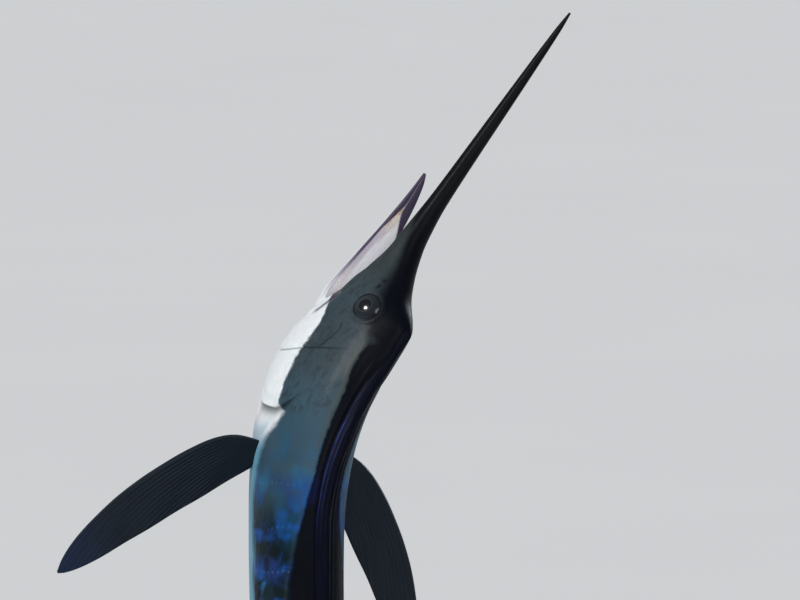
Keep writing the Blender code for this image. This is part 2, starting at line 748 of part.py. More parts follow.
def build_body():
    """Bill, head, jaw, eyes and the lengths of the body."""
    pieces = [make_bill()]
    head = make_head()
    for side, name in ((1.0, "eye_left"), (-1.0, "eye_right")):
        rim = eye_rim(name + "_rim", side)
        combine(head, rim, "UNION")
        socket = eye_solid(name + "_socket", side, GAP)
        combine(head, socket)
        front = nostril(name + "_front_nostril", side, NOSTRIL_S, 0.0024)
        rear = nostril(name + "_rear_nostril", side, NOSTRIL_S + NOSTRIL_SPACING, 0.0042)
        combine(head, front)
        combine(head, rear)
        for tool in (rim, socket, front, rear):
            bpy.data.objects.remove(tool)
        pieces.append(eye_solid(name, side))
    pieces.append(head)
    pieces.append(make_lower_jaw())
    for name, start, end in zip(TORSO_NAMES, TORSO_SEAMS, TORSO_SEAMS[1:]):
        pieces.append(make_torso(name, start, end))
    return pieces


def build_fins():
    """Every fin, its root cut to the body's skin."""
    cutter = cutter_object(body_cutter())
    front = cutter_object(head_cutter())
    front_spots = [SAIL_START_S, 0.502, 0.510, 0.520] + stations(0.535, SAIL_SPLIT_S - GAP / 2, 0.030)
    sail = dorsal_sail("first_dorsal_front", front_spots)
    combine(sail, front)
    fins = [sail]
    fins.append(dorsal_sail("first_dorsal_rear", stations(SAIL_SPLIT_S + GAP / 2, SAIL_END_S, 0.037)))
    fins.append(midline_fin("second_dorsal", *falcate(1.845, 0.085, 0.052, 1, 0.060), 5, 6, 0.0022, 0.0005))
    fins.append(midline_fin("first_anal", *falcate(1.530, 0.125, 0.165, -1, 0.150), 8, 10, 0.0032, 0.0006))
    fins.append(midline_fin("second_anal", *falcate(1.860, 0.075, 0.048, -1, 0.055), 5, 6, 0.0022, 0.0005))
    fins.append(pectoral("pectoral_left", 1.0, LEFT_SWEEP, PECTORAL_S, PECTORAL_Z))
    fins.append(pectoral("pectoral_right", -1.0, RIGHT_SWEEP, PECTORAL_S - 0.013, PECTORAL_Z))
    fins.append(pelvic("pelvic_left", 1.0))
    fins.append(pelvic("pelvic_right", -1.0))
    for fin in fins:
        combine(fin, cutter)
    fins.append(caudal_lobe("caudal_upper", 1.0))
    fins.append(caudal_lobe("caudal_lower", -1.0))
    bpy.data.objects.remove(front)
    return fins, cutter


def build_stand(cutter):
    """Base and two rods, one up to the fork of the tail and one up to the belly."""
    base = rounded_slab("stand_base", BASE_LENGTH, BASE_WIDTH, BASE_THICK, 0.05)
    fork = place(FORK_S, 0.0, 0.0)
    grip = Vector((fork.x, fork.y, fork.z + TAIL_ROD_GRIP))
    tail_rod = rod("stand_rod_tail", Vector((fork.x, fork.y, BASE_THICK + GAP)), grip, TAIL_ROD_RADIUS)
    for side in (1.0, -1.0):
        lobe = cutter_object(caudal_lobe("lobe_cutter", side, GAP))
        combine(tail_rod, lobe)
        bpy.data.objects.remove(lobe)
    touch = place(BELLY_ROD_S, -BELLY_ROD_SIDE, belly(BELLY_ROD_S) + 0.03)
    foot = Vector((BELLY_ROD_FOOT_X, BELLY_ROD_FOOT_Y, 0.5 * BASE_THICK))
    belly_rod = rod("stand_rod_belly", foot, touch, BELLY_ROD_RADIUS)
    combine(belly_rod, cutter)
    floor = cutter_object(rounded_slab("floor_cutter", BASE_LENGTH, BASE_WIDTH, BASE_THICK + GAP, 0.05))
    combine(belly_rod, floor)
    bpy.data.objects.remove(floor)
    return [base, tail_rod, belly_rod]


def main():
    """Build the whole model."""
    for old in list(bpy.data.objects):
        bpy.data.objects.remove(old)
    model = bpy.data.collections.new("sailfish")
    bpy.context.scene.collection.children.link(model)
    pieces = build_body()
    fins, cutter = build_fins()
    pieces += fins
    pieces += build_stand(cutter)
    bpy.data.objects.remove(cutter)
    for piece in pieces:
        piece.data.materials.clear()
        piece.data.materials.append(material(piece.name, *FINISHES[piece.name]))
        for holder in list(piece.users_collection):
            holder.objects.unlink(piece)
        model.objects.link(piece)
        piece.data.shade_smooth()
        piece.data.set_sharp_from_angle(angle=math.radians(35.0))


main()
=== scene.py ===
import math

import bmesh
import bpy
import numpy as np
from mathutils import Matrix, Vector, kdtree


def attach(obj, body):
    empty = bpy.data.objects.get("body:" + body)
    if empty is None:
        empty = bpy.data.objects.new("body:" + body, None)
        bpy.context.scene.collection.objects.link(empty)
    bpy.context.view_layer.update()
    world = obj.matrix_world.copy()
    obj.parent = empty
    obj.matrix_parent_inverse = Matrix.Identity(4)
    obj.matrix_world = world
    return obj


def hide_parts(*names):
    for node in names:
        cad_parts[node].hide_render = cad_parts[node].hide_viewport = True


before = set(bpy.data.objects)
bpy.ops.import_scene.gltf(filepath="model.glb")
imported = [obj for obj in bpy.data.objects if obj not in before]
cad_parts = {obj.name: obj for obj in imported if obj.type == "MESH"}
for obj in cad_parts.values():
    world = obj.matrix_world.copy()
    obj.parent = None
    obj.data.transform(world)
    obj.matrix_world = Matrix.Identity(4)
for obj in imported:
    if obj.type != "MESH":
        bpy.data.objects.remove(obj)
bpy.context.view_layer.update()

# Sizes of the fish, as in the solids: s along its axis from the bill's tip, y to its left, z to its back.
JAW_TIP_S = 0.31
HINGE_S = 0.552
GILL_EDGE_S = 0.7
STALK_END_S = 2.055
FORK_S = 2.125
TAIL_TIP_S = 2.325
TAIL_HALF_SPAN = 0.335
SAIL_START_S = 0.495
SAIL_END_S = 1.7
EYE_S = 0.519
EYE_Z = 0.043
EYE_RADIUS = 0.0245
EYE_HALF_DEPTH = 0.014
EYE_SUNK = 0.0085
NOSTRIL_S = 0.474
NOSTRIL_Z = 0.034
NOSTRIL_SPACING = 0.011
KEEL_HEIGHT = 0.005
LIP_HEIGHT = 0.0022
JAW_TIP_DEPTH = 0.003
JAW_TIP_HALF_WIDTH = 0.0022
JAW_ROOT_SHARE = 0.82
JAW_TIP_LIFT = 0.0415
JAW_RIM_HEIGHT = 0.0016
JAW_FLOOR_RIDGE = 0.0022
JAW_SUNK = 0.022
PECTORAL_LENGTH = 0.353
PECTORAL_S = 0.745
PECTORAL_Z = -0.036
PECTORAL_SUNK = 0.022
PECTORAL_TWIST = math.radians(14.0)
PECTORAL_BOW = 0.02
RIGHT_PECTORAL_AHEAD = 0.013
PECTORAL_RAYS = 19
PELVIC_S = 0.8
PELVIC_LENGTH = 0.5
PELVIC_RAYS = 3
TAIL_ROOT_LENGTH = 0.028
GILL_SHIFT_START_S = 0.56
GILL_SHIFT_LENGTH = 0.25
GAP = 0.0003
EDGE_HALF = 0.00028

BACK = ((0.0, 0.0016), (0.03, 0.0042), (0.15, 0.0083), (0.24, 0.0107), (0.33, 0.014), (0.39, 0.0215),
        (0.43, 0.035), (0.467, 0.056), (0.5, 0.084), (0.525, 0.095), (0.56, 0.0985), (0.61, 0.101),
        (0.7, 0.104), (0.8, 0.107), (1.0, 0.107), (1.3, 0.1), (1.5, 0.087), (1.7, 0.066),
        (1.85, 0.047), (1.95, 0.034), (2.02, 0.025), (STALK_END_S, 0.021))
UPPER_JAW = ((0.0, -0.0016), (0.03, -0.0042), (0.15, -0.0083), (0.24, -0.0107), (0.33, -0.013),
             (0.39, -0.016), (0.43, -0.0175), (0.467, -0.024), (0.5, -0.034), (HINGE_S, -0.043))
BELLY = ((HINGE_S, -0.067), (0.61, -0.098), (0.7, -0.108), (0.8, -0.108), (1.0, -0.104),
         (1.3, -0.097), (1.5, -0.087), (1.7, -0.065), (1.85, -0.047), (1.95, -0.034),
         (2.02, -0.025), (STALK_END_S, -0.021))
HALF_WIDTH = ((0.0, 0.0016), (0.03, 0.0042), (0.15, 0.0083), (0.24, 0.0107), (0.33, 0.014), (0.39, 0.0195),
              (0.43, 0.025), (0.467, 0.032), (0.5, 0.0395), (0.54, 0.046), (0.61, 0.0545),
              (0.7, 0.0605), (0.8, 0.0615), (1.0, 0.06), (1.3, 0.056), (1.5, 0.048), (1.7, 0.036),
              (1.85, 0.026), (1.95, 0.0195), (2.02, 0.014), (STALK_END_S, 0.01))
MIDDLE = ((0.0, 0.0), (0.33, 0.0005), (0.39, 0.002), (0.43, 0.006), (0.467, 0.01), (0.5, 0.011),
          (HINGE_S, 0.004), (0.61, -0.005), (0.7, -0.009), (0.8, -0.007), (1.0, -0.003),
          (1.5, 0.0), (STALK_END_S, 0.0))

# Pose, as in the solids.
BILL_ANGLE = math.radians(35.0)
NECK_START_S = 0.47
NECK_END_S = 0.9
TAIL_ANGLE = math.radians(16.0)
TAIL_BEND_START_S = 1.15
TAIL_BEND_END_S = 2.1
HEAD_ROLL = math.radians(46.0)
BODY_ROLL = math.radians(21.0)
ROLL_START_S = 0.5
ROLL_LENGTH = 0.38
LEAN = math.radians(8.0)
JAW_OPEN = math.radians(13.9)
LEFT_SWEEP = math.radians(40.0)
RIGHT_SWEEP = math.radians(49.5)
BASE_THICK = 0.045
TAIL_CLEARANCE = 0.03
BASE_LENGTH = 0.86
BASE_WIDTH = 0.66
BASE_CORNER = 0.05
BASE_RIM = 0.006
ROD_RADIUS = 0.012
ROD_RIM = 0.0008
TAIL_ROD_GRIP = 0.014
BELLY_ROD_S = 1.42
BELLY_ROD_SIDE = 0.022
BELLY_ROD_FOOT = (0.06, 0.27)
FISH_X = -0.035
FISH_Y = -0.045
AXIS_STEP = 0.001
AXIS_END_S = 2.5
AXIS_FIXED_S = 1.0

# Finer counts for the looks.
SKIN_COLUMNS = 256
JAW_COLUMNS = 96
JAW_ROWS = 150
EYE_GRID = (72, 48)
SAIL_GRID = (620, 56)
TAIL_GRID = (150, 230)
PECTORAL_GRID = (170, 190)
PELVIC_GRID = (20, 160)
ROD_SIDES = 64
CORNER_STEPS = 20

# Pattern of the flank, and the rough way from its back to its belly.
FLANK_DEPTH = 0.16
BAR_SPACING = 0.062
BAR_PHASE = 0.597
DOT_SPACING = 0.012

# Values kept at the skin's points, and how its join with the jaw is softened and its values are evened out.
SKIN_VALUES = ("fish", "lie", "band", "white", "crease_shade", "lip", "mouth", "jaw")
BLEND_SPOT = (HINGE_S + 0.006, 0.0, -0.062)
BLEND_REACH = 0.07
BLEND_WELD = 0.00045
BLEND_COSINE = 0.93
BLEND_RINGS = 4
BLEND_PASSES = 10
EVEN_SPOT = (HINGE_S + 0.002, 0.0, -0.055)
EVEN_REACH = 0.06
EVEN_PASSES = 5

# Solids that the skin stands for.
FLESH_NODES = ("bill", "head", "lower_jaw", "torso_front", "torso_middle", "torso_rear", "tail_stalk")

# Studio. A light has a name, a kind, power, colour, its own settings, its spot and what it is turned to.
FLOOR_SIZE = 60.0
SKY_COLOUR = (0.88, 0.93, 1.0)
SKY_STRENGTH = 0.34
LIT_MIDDLE = (0.0, 0.0, 1.7)
LIGHTS = (
    ("sun", "SUN", 2.3, (1.0, 0.98, 0.95), {"angle": math.radians(11.0)}, (-2.9, -2.9, 3.5), (0.0, 0.0, 0.0)),
    ("fill", "AREA", 28.0, (0.92, 0.96, 1.0), {"shape": "DISK", "size": 1.8}, (1.3, -2.7, 3.1), LIT_MIDDLE),
    ("rim", "AREA", 60.0, (0.85, 0.93, 1.0), {"shape": "DISK", "size": 1.2}, (2.0, 3.4, 2.8), LIT_MIDDLE))

# Photo framing: the bill's tip in the 800 by 600 frame, and metres to a pixel at the fish.
BILL_TIP_PIXEL = (570.0, 13.0)
METRES_PER_PIXEL = 0.00145
FRAME_WIDTH = 800
FRAME_HEIGHT = 600
CAMERA_DISTANCE = 14.0
CAMERA_ELEVATION = math.radians(6.0)


def smooth(value):
    """Rise from 0 to 1 with flat ends."""
    value = np.clip(value, 0.0, 1.0)
    return value * value * (3.0 - 2.0 * value)


def ramp(value, start, length):
    """Smooth rise from 0 to 1 that begins at start and takes length."""
    return smooth((value - start) / length)


def fall(value, start, length):
    """Smooth fall from 1 to 0 that begins at start and takes length."""
    return 1.0 - ramp(value, start, length)


def faded(share, first, last):
    """Rise over the first part of a share that goes from 0 to 1, and fall over its last part."""
    return smooth(share / first) * smooth((1.0 - share) / last)


def bump_at(value, centre, width):
    """Smooth bump of height 1 round a centre."""
    return np.exp(-((value - centre) / width) ** 2)


def wave(phase):
    """Cosine wave between 0 and 1, its crests at whole numbers."""
    return 0.5 + 0.5 * np.cos(2.0 * math.pi * phase)


def curve(stations):
    """Return a smooth function through a few (position, value) stations."""
    xs, ys = np.array(stations, float).T
    slopes = np.diff(ys) / np.diff(xs)
    tangents = np.empty(len(xs))
    tangents[0], tangents[-1] = slopes[0], slopes[-1]
    before, after = slopes[:-1], slopes[1:]
    total = np.where(before + after == 0.0, 1.0, before + after)
    tangents[1:-1] = np.where(before * after <= 0.0, 0.0, 2.0 * before * after / total)

    def value(x):
        x = np.asarray(x, float)
        index = np.clip(np.searchsorted(xs, x) - 1, 0, len(xs) - 2)
        width = xs[index + 1] - xs[index]
        t = np.clip((x - xs[index]) / width, 0.0, 1.0)
        low = (2 * t ** 3 - 3 * t ** 2 + 1) * ys[index] + (t ** 3 - 2 * t ** 2 + t) * width * tangents[index]
        high = (3 * t ** 2 - 2 * t ** 3) * ys[index + 1] + (t ** 3 - t ** 2) * width * tangents[index + 1]
        return low + high

    return value


def eased(function, reach=0.035):
    """Round off the slight corners of a curve from 0 to 1, its two ends kept."""
    count, window = 400, 100
    at = np.linspace(0.0, 1.0, count + 1)
    values = function(at)
    straight = values[0] + (values[-1] - values[0]) * at
    rest = values - straight
    mirrored = np.concatenate([-rest[:0:-1], rest, -rest[-2::-1]])
    steps = np.arange(-window, window + 1) / count
    weight = np.exp(-(steps / reach) ** 2)
    rounded = np.convolve(mirrored, weight / weight.sum(), "same")[count:2 * count + 1] + straight
    keep = smooth((1.0 - at) / 0.08)
    values = values + (rounded - values) * keep
    return lambda x: np.interp(x, at, values)


back = curve(BACK)
upper_jaw = curve(UPPER_JAW)
belly = curve(BELLY)
half_width = curve(HALF_WIDTH)
middle_height = curve(MIDDLE)


def bend_angle(s):
    """Angle of the axis from the vertical, to the right going up."""
    neck = BILL_ANGLE * fall(s, NECK_START_S, NECK_END_S - NECK_START_S)
    return neck - TAIL_ANGLE * ramp(s, TAIL_BEND_START_S, TAIL_BEND_END_S - TAIL_BEND_START_S)


def roll_angle(s):
    """Angle of the back from the viewer's side towards the right."""
    return HEAD_ROLL + (BODY_ROLL - HEAD_ROLL) * ramp(s, ROLL_START_S, ROLL_LENGTH)


def axis_table():
    """Points of the bent axis, one each millimetre, from the bill's tip down."""
    count = int(AXIS_END_S / AXIS_STEP) + 1
    lengths = np.arange(count) * AXIS_STEP
    angles = bend_angle(lengths)
    steps = np.stack([-np.sin(angles), np.zeros(count), -np.cos(angles)], axis=1) * AXIS_STEP
    points = np.vstack([np.zeros(3), np.cumsum(0.5 * (steps[1:] + steps[:-1]), axis=0)])
    return points - points[int(AXIS_FIXED_S / AXIS_STEP)]


AXIS = axis_table()
AXIS_LENGTHS = np.arange(len(AXIS)) * AXIS_STEP
LEAN_TURN = np.array(Matrix.Rotation(-LEAN, 3, "X"))


def directions(s):
    """Unit directions to the fish's left and to its back, before it leans."""
    angle, roll = bend_angle(s), roll_angle(s)
    zero = np.zeros_like(angle)
    right = np.stack([np.cos(angle), zero, -np.sin(angle)], axis=-1)
    near = np.array((0.0, -1.0, 0.0))
    cos, sin = np.cos(roll)[..., None], np.sin(roll)[..., None]
    return near * sin - right * cos, near * cos + right * sin


def bent(s, y, z):
    """Bend and lean points of the straight fish, before it is set over the base."""
    s, y, z = np.broadcast_arrays(*(np.asarray(value, float) for value in (s, y, z)))
    centre = np.stack([np.interp(s, AXIS_LENGTHS, AXIS[:, k]) for k in range(3)], axis=-1)
    left, up = directions(s)
    return (centre + left * y[..., None] + up * z[..., None]) @ LEAN_TURN.T


LOWEST_TAIL = min(bent(TAIL_TIP_S, 0.0, side * TAIL_HALF_SPAN)[2] for side in (-1.0, 1.0))
SET_DOWN = np.array((FISH_X, FISH_Y, BASE_THICK + TAIL_CLEARANCE - LOWEST_TAIL))


def place(s, y, z):
    """World positions of points of the straight fish."""
    return bent(s, y, z) + SET_DOWN


def unit(vector):
    """Vector of length 1 in the same direction."""
    return vector / np.linalg.norm(vector)


def frame_at(s):
    """World directions towards the tail, the fish's left and its back."""
    origin = place(s, 0.0, 0.0)
    tailward = unit(place(s + 0.001, 0.0, 0.0) - place(s - 0.001, 0.0, 0.0))
    return tailward, place(s, 1.0, 0.0) - origin, place(s, 0.0, 1.0) - origin


# Mesh making.


def add_object(name, data):
    """Put a mesh, a light or a camera into the scene."""
    thing = bpy.data.objects.new(name, data)
    bpy.context.scene.collection.objects.link(thing)
    return thing


def mesh_object(name, points, faces, attributes=None):
    """Make a smooth-shaded object from points, faces and named values at the points."""
    mesh = bpy.data.meshes.new(name)
    mesh.from_pydata(np.asarray(points).tolist(), [], faces)
    for key, values in (attributes or {}).items():
        write_attribute(mesh, key, values)
    mesh.shade_smooth()
    return add_object(name, mesh)


def write_attribute(mesh, key, values):
    """Store one number or one vector for each point of a mesh."""
    values = np.asarray(values, np.float32)
    kind, field = ("FLOAT_VECTOR", "vector") if values.ndim == 2 else ("FLOAT", "value")
    layer = mesh.attributes.new(key, kind, "POINT")
    layer.data.foreach_set(field, values.ravel())


def read_attribute(mesh, key):
    """Numbers or vectors stored for the points of a mesh."""
    layer = mesh.attributes[key]
    wide, field = (3, "vector") if layer.data_type == "FLOAT_VECTOR" else (1, "value")
    values = np.zeros(len(layer.data) * wide, np.float32)
    layer.data.foreach_get(field, values)
    return values.reshape(-1, 3) if wide == 3 else values


def grid_faces(rows, columns, wrap, offset=0):
    """Quads of a grid of points, closed on itself across when wrap is true."""
    span = columns if wrap else columns - 1
    row, column = np.meshgrid(np.arange(rows - 1), np.arange(span), indexing="ij")
    after = (column + 1) % columns
    a = row * columns + column
    b = row * columns + after
    return (np.stack([a, a + columns, b + columns, b], axis=-1) + offset).reshape(-1, 4).tolist()


def with_ends(values):
    """Values of a grid of rings in one list, with the means of the first ring and of the last at its end."""
    ends = np.stack([values[0].mean(axis=0), values[-1].mean(axis=0)])
    return np.concatenate([values.reshape((-1,) + values.shape[2:]), ends])


def tube_mesh(name, points, attributes):
    """Close a grid of rings with a fan at each end: points has shape rows, columns, 3."""
    rows, columns = points.shape[:2]
    faces = grid_faces(rows, columns, True)
    first, last, low = rows * columns, rows * columns + 1, (rows - 1) * columns
    for k in range(columns):
        after = (k + 1) % columns
        faces.append((first, k, after))
        faces.append((last, low + after, low + k))
    full = {key: with_ends(np.asarray(values, float)) for key, values in attributes.items()}
    return mesh_object(name, with_ends(points), faces, full)


def outward(piece):
    """Turn the faces of a closed piece outwards."""
    shape = bmesh.new()
    shape.from_mesh(piece.data)
    if shape.calc_volume(signed=True) < 0.0:
        bmesh.ops.reverse_faces(shape, faces=shape.faces)
    shape.to_mesh(piece.data)
    shape.free()
    return piece


# The fish's outline, as in the solids.


def opercle_shift(s, height):
    """How far the seam behind the gill cover leans forward above and below the flank."""
    reach = np.where(height > 0.0, -0.08 * smooth(height), -0.045 * smooth(-height) ** 2)
    ahead = ramp(s, GILL_SHIFT_START_S, GILL_EDGE_S - GILL_SHIFT_START_S)
    return reach * np.where(s < GILL_EDGE_S, ahead, fall(s, GILL_EDGE_S, GILL_SHIFT_LENGTH))


def lower_edge(s):
    """Lower edge of the skin: the roof of the mouth ahead of the hinge, then the throat and the belly."""
    return upper_jaw(s) + (belly(s) - upper_jaw(s)) * ramp(s, HINGE_S - 0.038, 0.042)


def outline(s, turn, lower=lower_edge, ease=1.0):
    """Points of the skin: turn goes from 0 at the back down the left side to 0.5 at the belly."""
    angle = 2.0 * math.pi * turn
    height = np.cos(angle)
    across = np.sin(angle)
    shifted = s + ease * opercle_shift(s, height)
    across = np.sign(across) * np.abs(across) ** (1.0 - 0.08 * ramp(shifted, 0.33, 0.06))
    top, bottom, middle = back(shifted), lower(shifted), middle_height(shifted)
    reach = np.where(height > 0.0, top - middle, middle - bottom)
    return shifted, half_width(shifted) * across, middle + reach * height


def flank(s, z, lower=upper_jaw):
    """Half width of the skin at a height z."""
    low = np.zeros_like(np.asarray(s, float) + z)
    high = low + 0.5
    for _ in range(30):
        turn = 0.5 * (low + high)
        above = outline(s, turn, lower, ease=0.0)[2] > z
        low = np.where(above, turn, low)
        high = np.where(above, high, turn)
    return outline(s, low, lower, ease=0.0)[1]


def line_distance(s, z, points):
    """Distance, in the side view, from a line drawn through points, and how far along the line."""
    best = np.full(np.shape(s), 1.0)
    along = np.zeros(np.shape(s))
    path = np.array(points)
    lengths = np.concatenate([[0.0], np.cumsum(np.linalg.norm(np.diff(path, axis=0), axis=1))])
    for index in range(len(path) - 1):
        (s0, z0), (s1, z1) = path[index], path[index + 1]
        ds, dz = s1 - s0, z1 - z0
        t = np.clip(((s - s0) * ds + (z - z0) * dz) / (ds * ds + dz * dz), 0.0, 1.0)
        distance = np.hypot(s - s0 - t * ds, z - z0 - t * dz)
        nearer = distance < best
        best = np.where(nearer, distance, best)
        length = lengths[index] + t * (lengths[index + 1] - lengths[index])
        along = np.where(nearer, length / lengths[-1], along)
    return best, along


# Creases of the head, and the lateral line, in the side view, as (s, z).
PREOPERCLE = ((0.583, 0.067), (0.592, 0.052), (0.6, 0.032), (0.607, 0.012), (0.613, -0.008), (0.618, -0.022),
              (0.622, -0.036), (0.625, -0.05), (0.627, -0.066), (0.626, -0.08))
EYE_GROOVE = ((0.552, 0.026), (0.566, 0.031), (0.58, 0.029), (0.597, 0.022), (0.606, 0.013))
MAXILLA = ((0.47, -0.013), (0.5, -0.021), (0.525, -0.028), (0.545, -0.033), (0.556, -0.034))
CORNER_FOLD = ((0.514, -0.019), (0.528, -0.022), (0.544, -0.0265), (0.558, -0.034), (0.572, -0.045))
LATERAL_LINE = ((0.655, 0.06), (0.7, 0.064), (0.75, 0.058), (0.8, 0.04), (0.85, 0.02), (0.9, 0.008),
                (0.96, 0.002), (1.2, 0.0), (1.6, 0.0), (1.96, 0.0))

# Where the dark back ends and the white begins, as shares of the way from the back to the belly.
band_edge = curve(((0.0, 1.05), (0.3, 1.0), (0.36, 0.62), (0.4, 0.4), (0.444, 0.31), (0.487, 0.35),
                   (0.52, 0.36), (0.545, 0.3), (0.558, 0.2), (0.6, 0.19), (0.65, 0.14), (0.71, 0.12),
                   (0.78, 0.11), (0.83, 0.13), (0.89, 0.18), (0.95, 0.23), (1.1, 0.26), (1.4, 0.27),
                   (1.8, 0.28), (2.0, 0.4), (2.1, 0.6)))
white_edge = curve(((0.0, 1.2), (0.36, 1.1), (0.4, 0.92), (0.47, 0.84), (0.526, 0.76), (0.546, 0.62),
                    (0.579, 0.53), (0.617, 0.515), (0.645, 0.5), (0.674, 0.48), (0.697, 0.45), (0.702, 0.41),
                    (0.722, 0.44), (0.745, 0.49), (0.765, 0.505), (0.8, 0.515), (0.95, 0.53), (1.3, 0.59),
                    (1.6, 0.64), (1.85, 0.72), (2.0, 0.9), (2.1, 1.1)))

# Height over the back and half width of the folded sail.
sail_rise = curve(((SAIL_START_S, 0.002), (0.508, 0.013), (0.522, 0.017), (0.56, 0.015), (0.9, 0.013),
                   (1.3, 0.011), (1.6, 0.007), (SAIL_END_S, 0.0015)))
sail_spread = curve(((SAIL_START_S, 0.004), (0.53, 0.011), (0.65, 0.0125), (1.1, 0.011), (1.5, 0.0075),
                     (SAIL_END_S, 0.003)))


# Relief of the skin. Each function adds to the height, and paints shade into the creases.


def add_painted_shade(crease_shade, value):
    """Add painted shade to the creases, keeping the darker of the two values."""
    np.maximum(crease_shade, value, out=crease_shade)


def tail_relief(side_height, base_s, relief):
    """Two keels on each side of the tail's root, and a notch above and below it."""
    run = ramp(base_s, 1.955, 0.05) * (1.0 - 0.7 * ramp(base_s, 2.025, 0.03))
    relief += KEEL_HEIGHT * run * smooth(1.0 - np.abs(np.abs(side_height) - 0.38) / 0.19)
    relief -= 0.0012 * bump_at(base_s, 2.03, 0.006) * ramp(np.abs(side_height), 0.86, 0.1)


def gill_relief(side_height, base_s, relief, crease_shade):
    """Gill cover: its rim stands up and the skin behind it sinks, with a painted shadow cast by the rim and
    painted shade along the membrane's line.
    """
    rim = smooth((0.66 - np.abs(side_height + 0.12)) / 0.36) * (1.0 - 0.55 * ramp(side_height, 0.2, 0.2))
    relief += 0.0026 * rim * ramp(base_s, GILL_EDGE_S - 0.07, 0.07) * (base_s <= GILL_EDGE_S)
    behind = (base_s > GILL_EDGE_S) * fall(base_s, GILL_EDGE_S, 0.03)
    relief -= 0.0024 * rim * behind
    add_painted_shade(crease_shade, rim * behind ** 3 * 0.9)
    membrane = rim * bump_at(base_s, GILL_EDGE_S - 0.012, 0.003)
    relief -= 0.0004 * membrane
    add_painted_shade(crease_shade, 0.06 * membrane)


def cheek_relief(s, z, relief, crease_shade):
    """Creases of the cheek and the gill cover and the edge of the maxilla, with painted shade in them, and
    the fold at the mouth's corner, which is returned.
    """
    for path, depth, width in ((PREOPERCLE, 0.0009, 0.0011), (EYE_GROOVE, 0.0008, 0.0015)):
        distance, along = line_distance(s, z, path)
        cut = bump_at(distance, 0.0, width) * faded(along, 0.22, 0.15)
        relief -= depth * cut
        add_painted_shade(crease_shade, 0.7 * cut)
    distance, along = line_distance(s, z, MAXILLA)
    ends = faded(along, 0.25, 0.3)
    relief += 0.0014 * smooth(1.0 - distance / 0.0085) * ends
    edge = bump_at(distance, 0.0088, 0.0014) * ends
    relief -= 0.0005 * edge
    add_painted_shade(crease_shade, 0.3 * edge)
    distance, along = line_distance(s, z, CORNER_FOLD)
    fold = smooth(1.0 - distance / 0.0062) * faded(along, 0.3, 0.25)
    relief += 0.0011 * fold
    return fold


def throat_relief(side_height, base_s, relief, crease_shade):
    """Low folds of the throat, where the rays that spread the gill membrane show, with painted shade between
    the folds.
    """
    run = ramp(base_s, 0.575, 0.03) * fall(base_s, 0.685, 0.015) * ramp(-side_height, 0.62, 0.16)
    folds = np.cos(2.0 * math.pi * (1.0 + side_height) / 0.085)
    relief += 0.0006 * run * folds
    add_painted_shade(crease_shade, 0.12 * run * (0.5 - 0.5 * folds))


def eye_relief(s, z, relief, crease_shade):
    """Socket and rim of the eye, and the two nostrils, with painted shade in the socket round the eye and in
    the nostrils' pits.
    """
    distance = np.hypot(s - EYE_S, z - EYE_Z)
    relief += 0.0007 * bump_at(distance, EYE_RADIUS * 1.02, 0.005)
    relief -= 0.012 * fall(distance, EYE_RADIUS * 0.72, EYE_RADIUS * 0.075)
    add_painted_shade(crease_shade, 0.8 * fall(distance, EYE_RADIUS * 0.8, EYE_RADIUS * 0.07))
    for pit_s, length, depth in ((NOSTRIL_S, 0.0026, 0.0024), (NOSTRIL_S + NOSTRIL_SPACING, 0.0044, 0.003)):
        pit = np.exp(-(((s - pit_s) / length) ** 2 + ((z - NOSTRIL_Z) / 0.002) ** 2) ** 1.5)
        relief -= depth * pit
        rim = np.hypot((s - pit_s) / (length + 0.0012), (z - NOSTRIL_Z) / 0.0034)
        relief += 0.0006 * bump_at(rim, 1.0, 0.35)
        add_painted_shade(crease_shade, 0.95 * pit)


def body_relief(s, turn, y, z, relief):
    """Lines, grooves and soft swellings of the nape and the body."""
    # Lateral line, arched over the pectoral fin.
    distance, along = line_distance(s, z, LATERAL_LINE)
    relief += 0.0005 * bump_at(distance, 0.0, 0.0016) * faded(along, 0.02, 0.05)

    # Shoulders of the nape, out of which the sail starts.
    relief += 0.0115 * ramp(s, 0.478, 0.04) * fall(s, 0.56, 0.12) * bump_at(y, 0.0, 0.02) * (z > 0.0)

    # Lips of the groove that the sail folds into, and the low ridge where the dark back ends.
    lips = ramp(s, 0.56, 0.05) * fall(s, 1.62, 0.1) * (z > 0.0)
    relief += 0.0014 * lips * bump_at(np.abs(y), sail_spread(s) + 0.003, 0.0022)
    share = 2.0 * np.minimum(turn, 1.0 - turn)
    relief += 0.0007 * ramp(s, 0.55, 0.03) * fall(s, 0.98, 0.2) * bump_at(share, band_edge(s) + 0.012, 0.02)

    # Fleshy root of each pectoral fin.
    behind = np.where(s < PECTORAL_S, (PECTORAL_S - s) / 0.046, (s - PECTORAL_S) / 0.04)
    relief += 0.005 * np.exp(-behind ** 2 - ((z - PECTORAL_Z) / 0.0135) ** 2)

    # Groove of the belly that the pelvic fins fold into.
    relief -= 0.0022 * ramp(s, 0.83, 0.04) * fall(s, 1.36, 0.1) * bump_at(y, 0.0, 0.006) * (z < 0.0)

    # Slow swells, so that the flanks aren't a perfect loft.
    swell = np.sin(s * 23.0 + 3.0 * z / 0.1) * np.sin(s * 11.0 + 5.0 * np.cos(2.0 * math.pi * turn) + 2.0)
    relief += 0.0005 * swell * ramp(s, 0.6, 0.1) * fall(s, 1.9, 0.1)


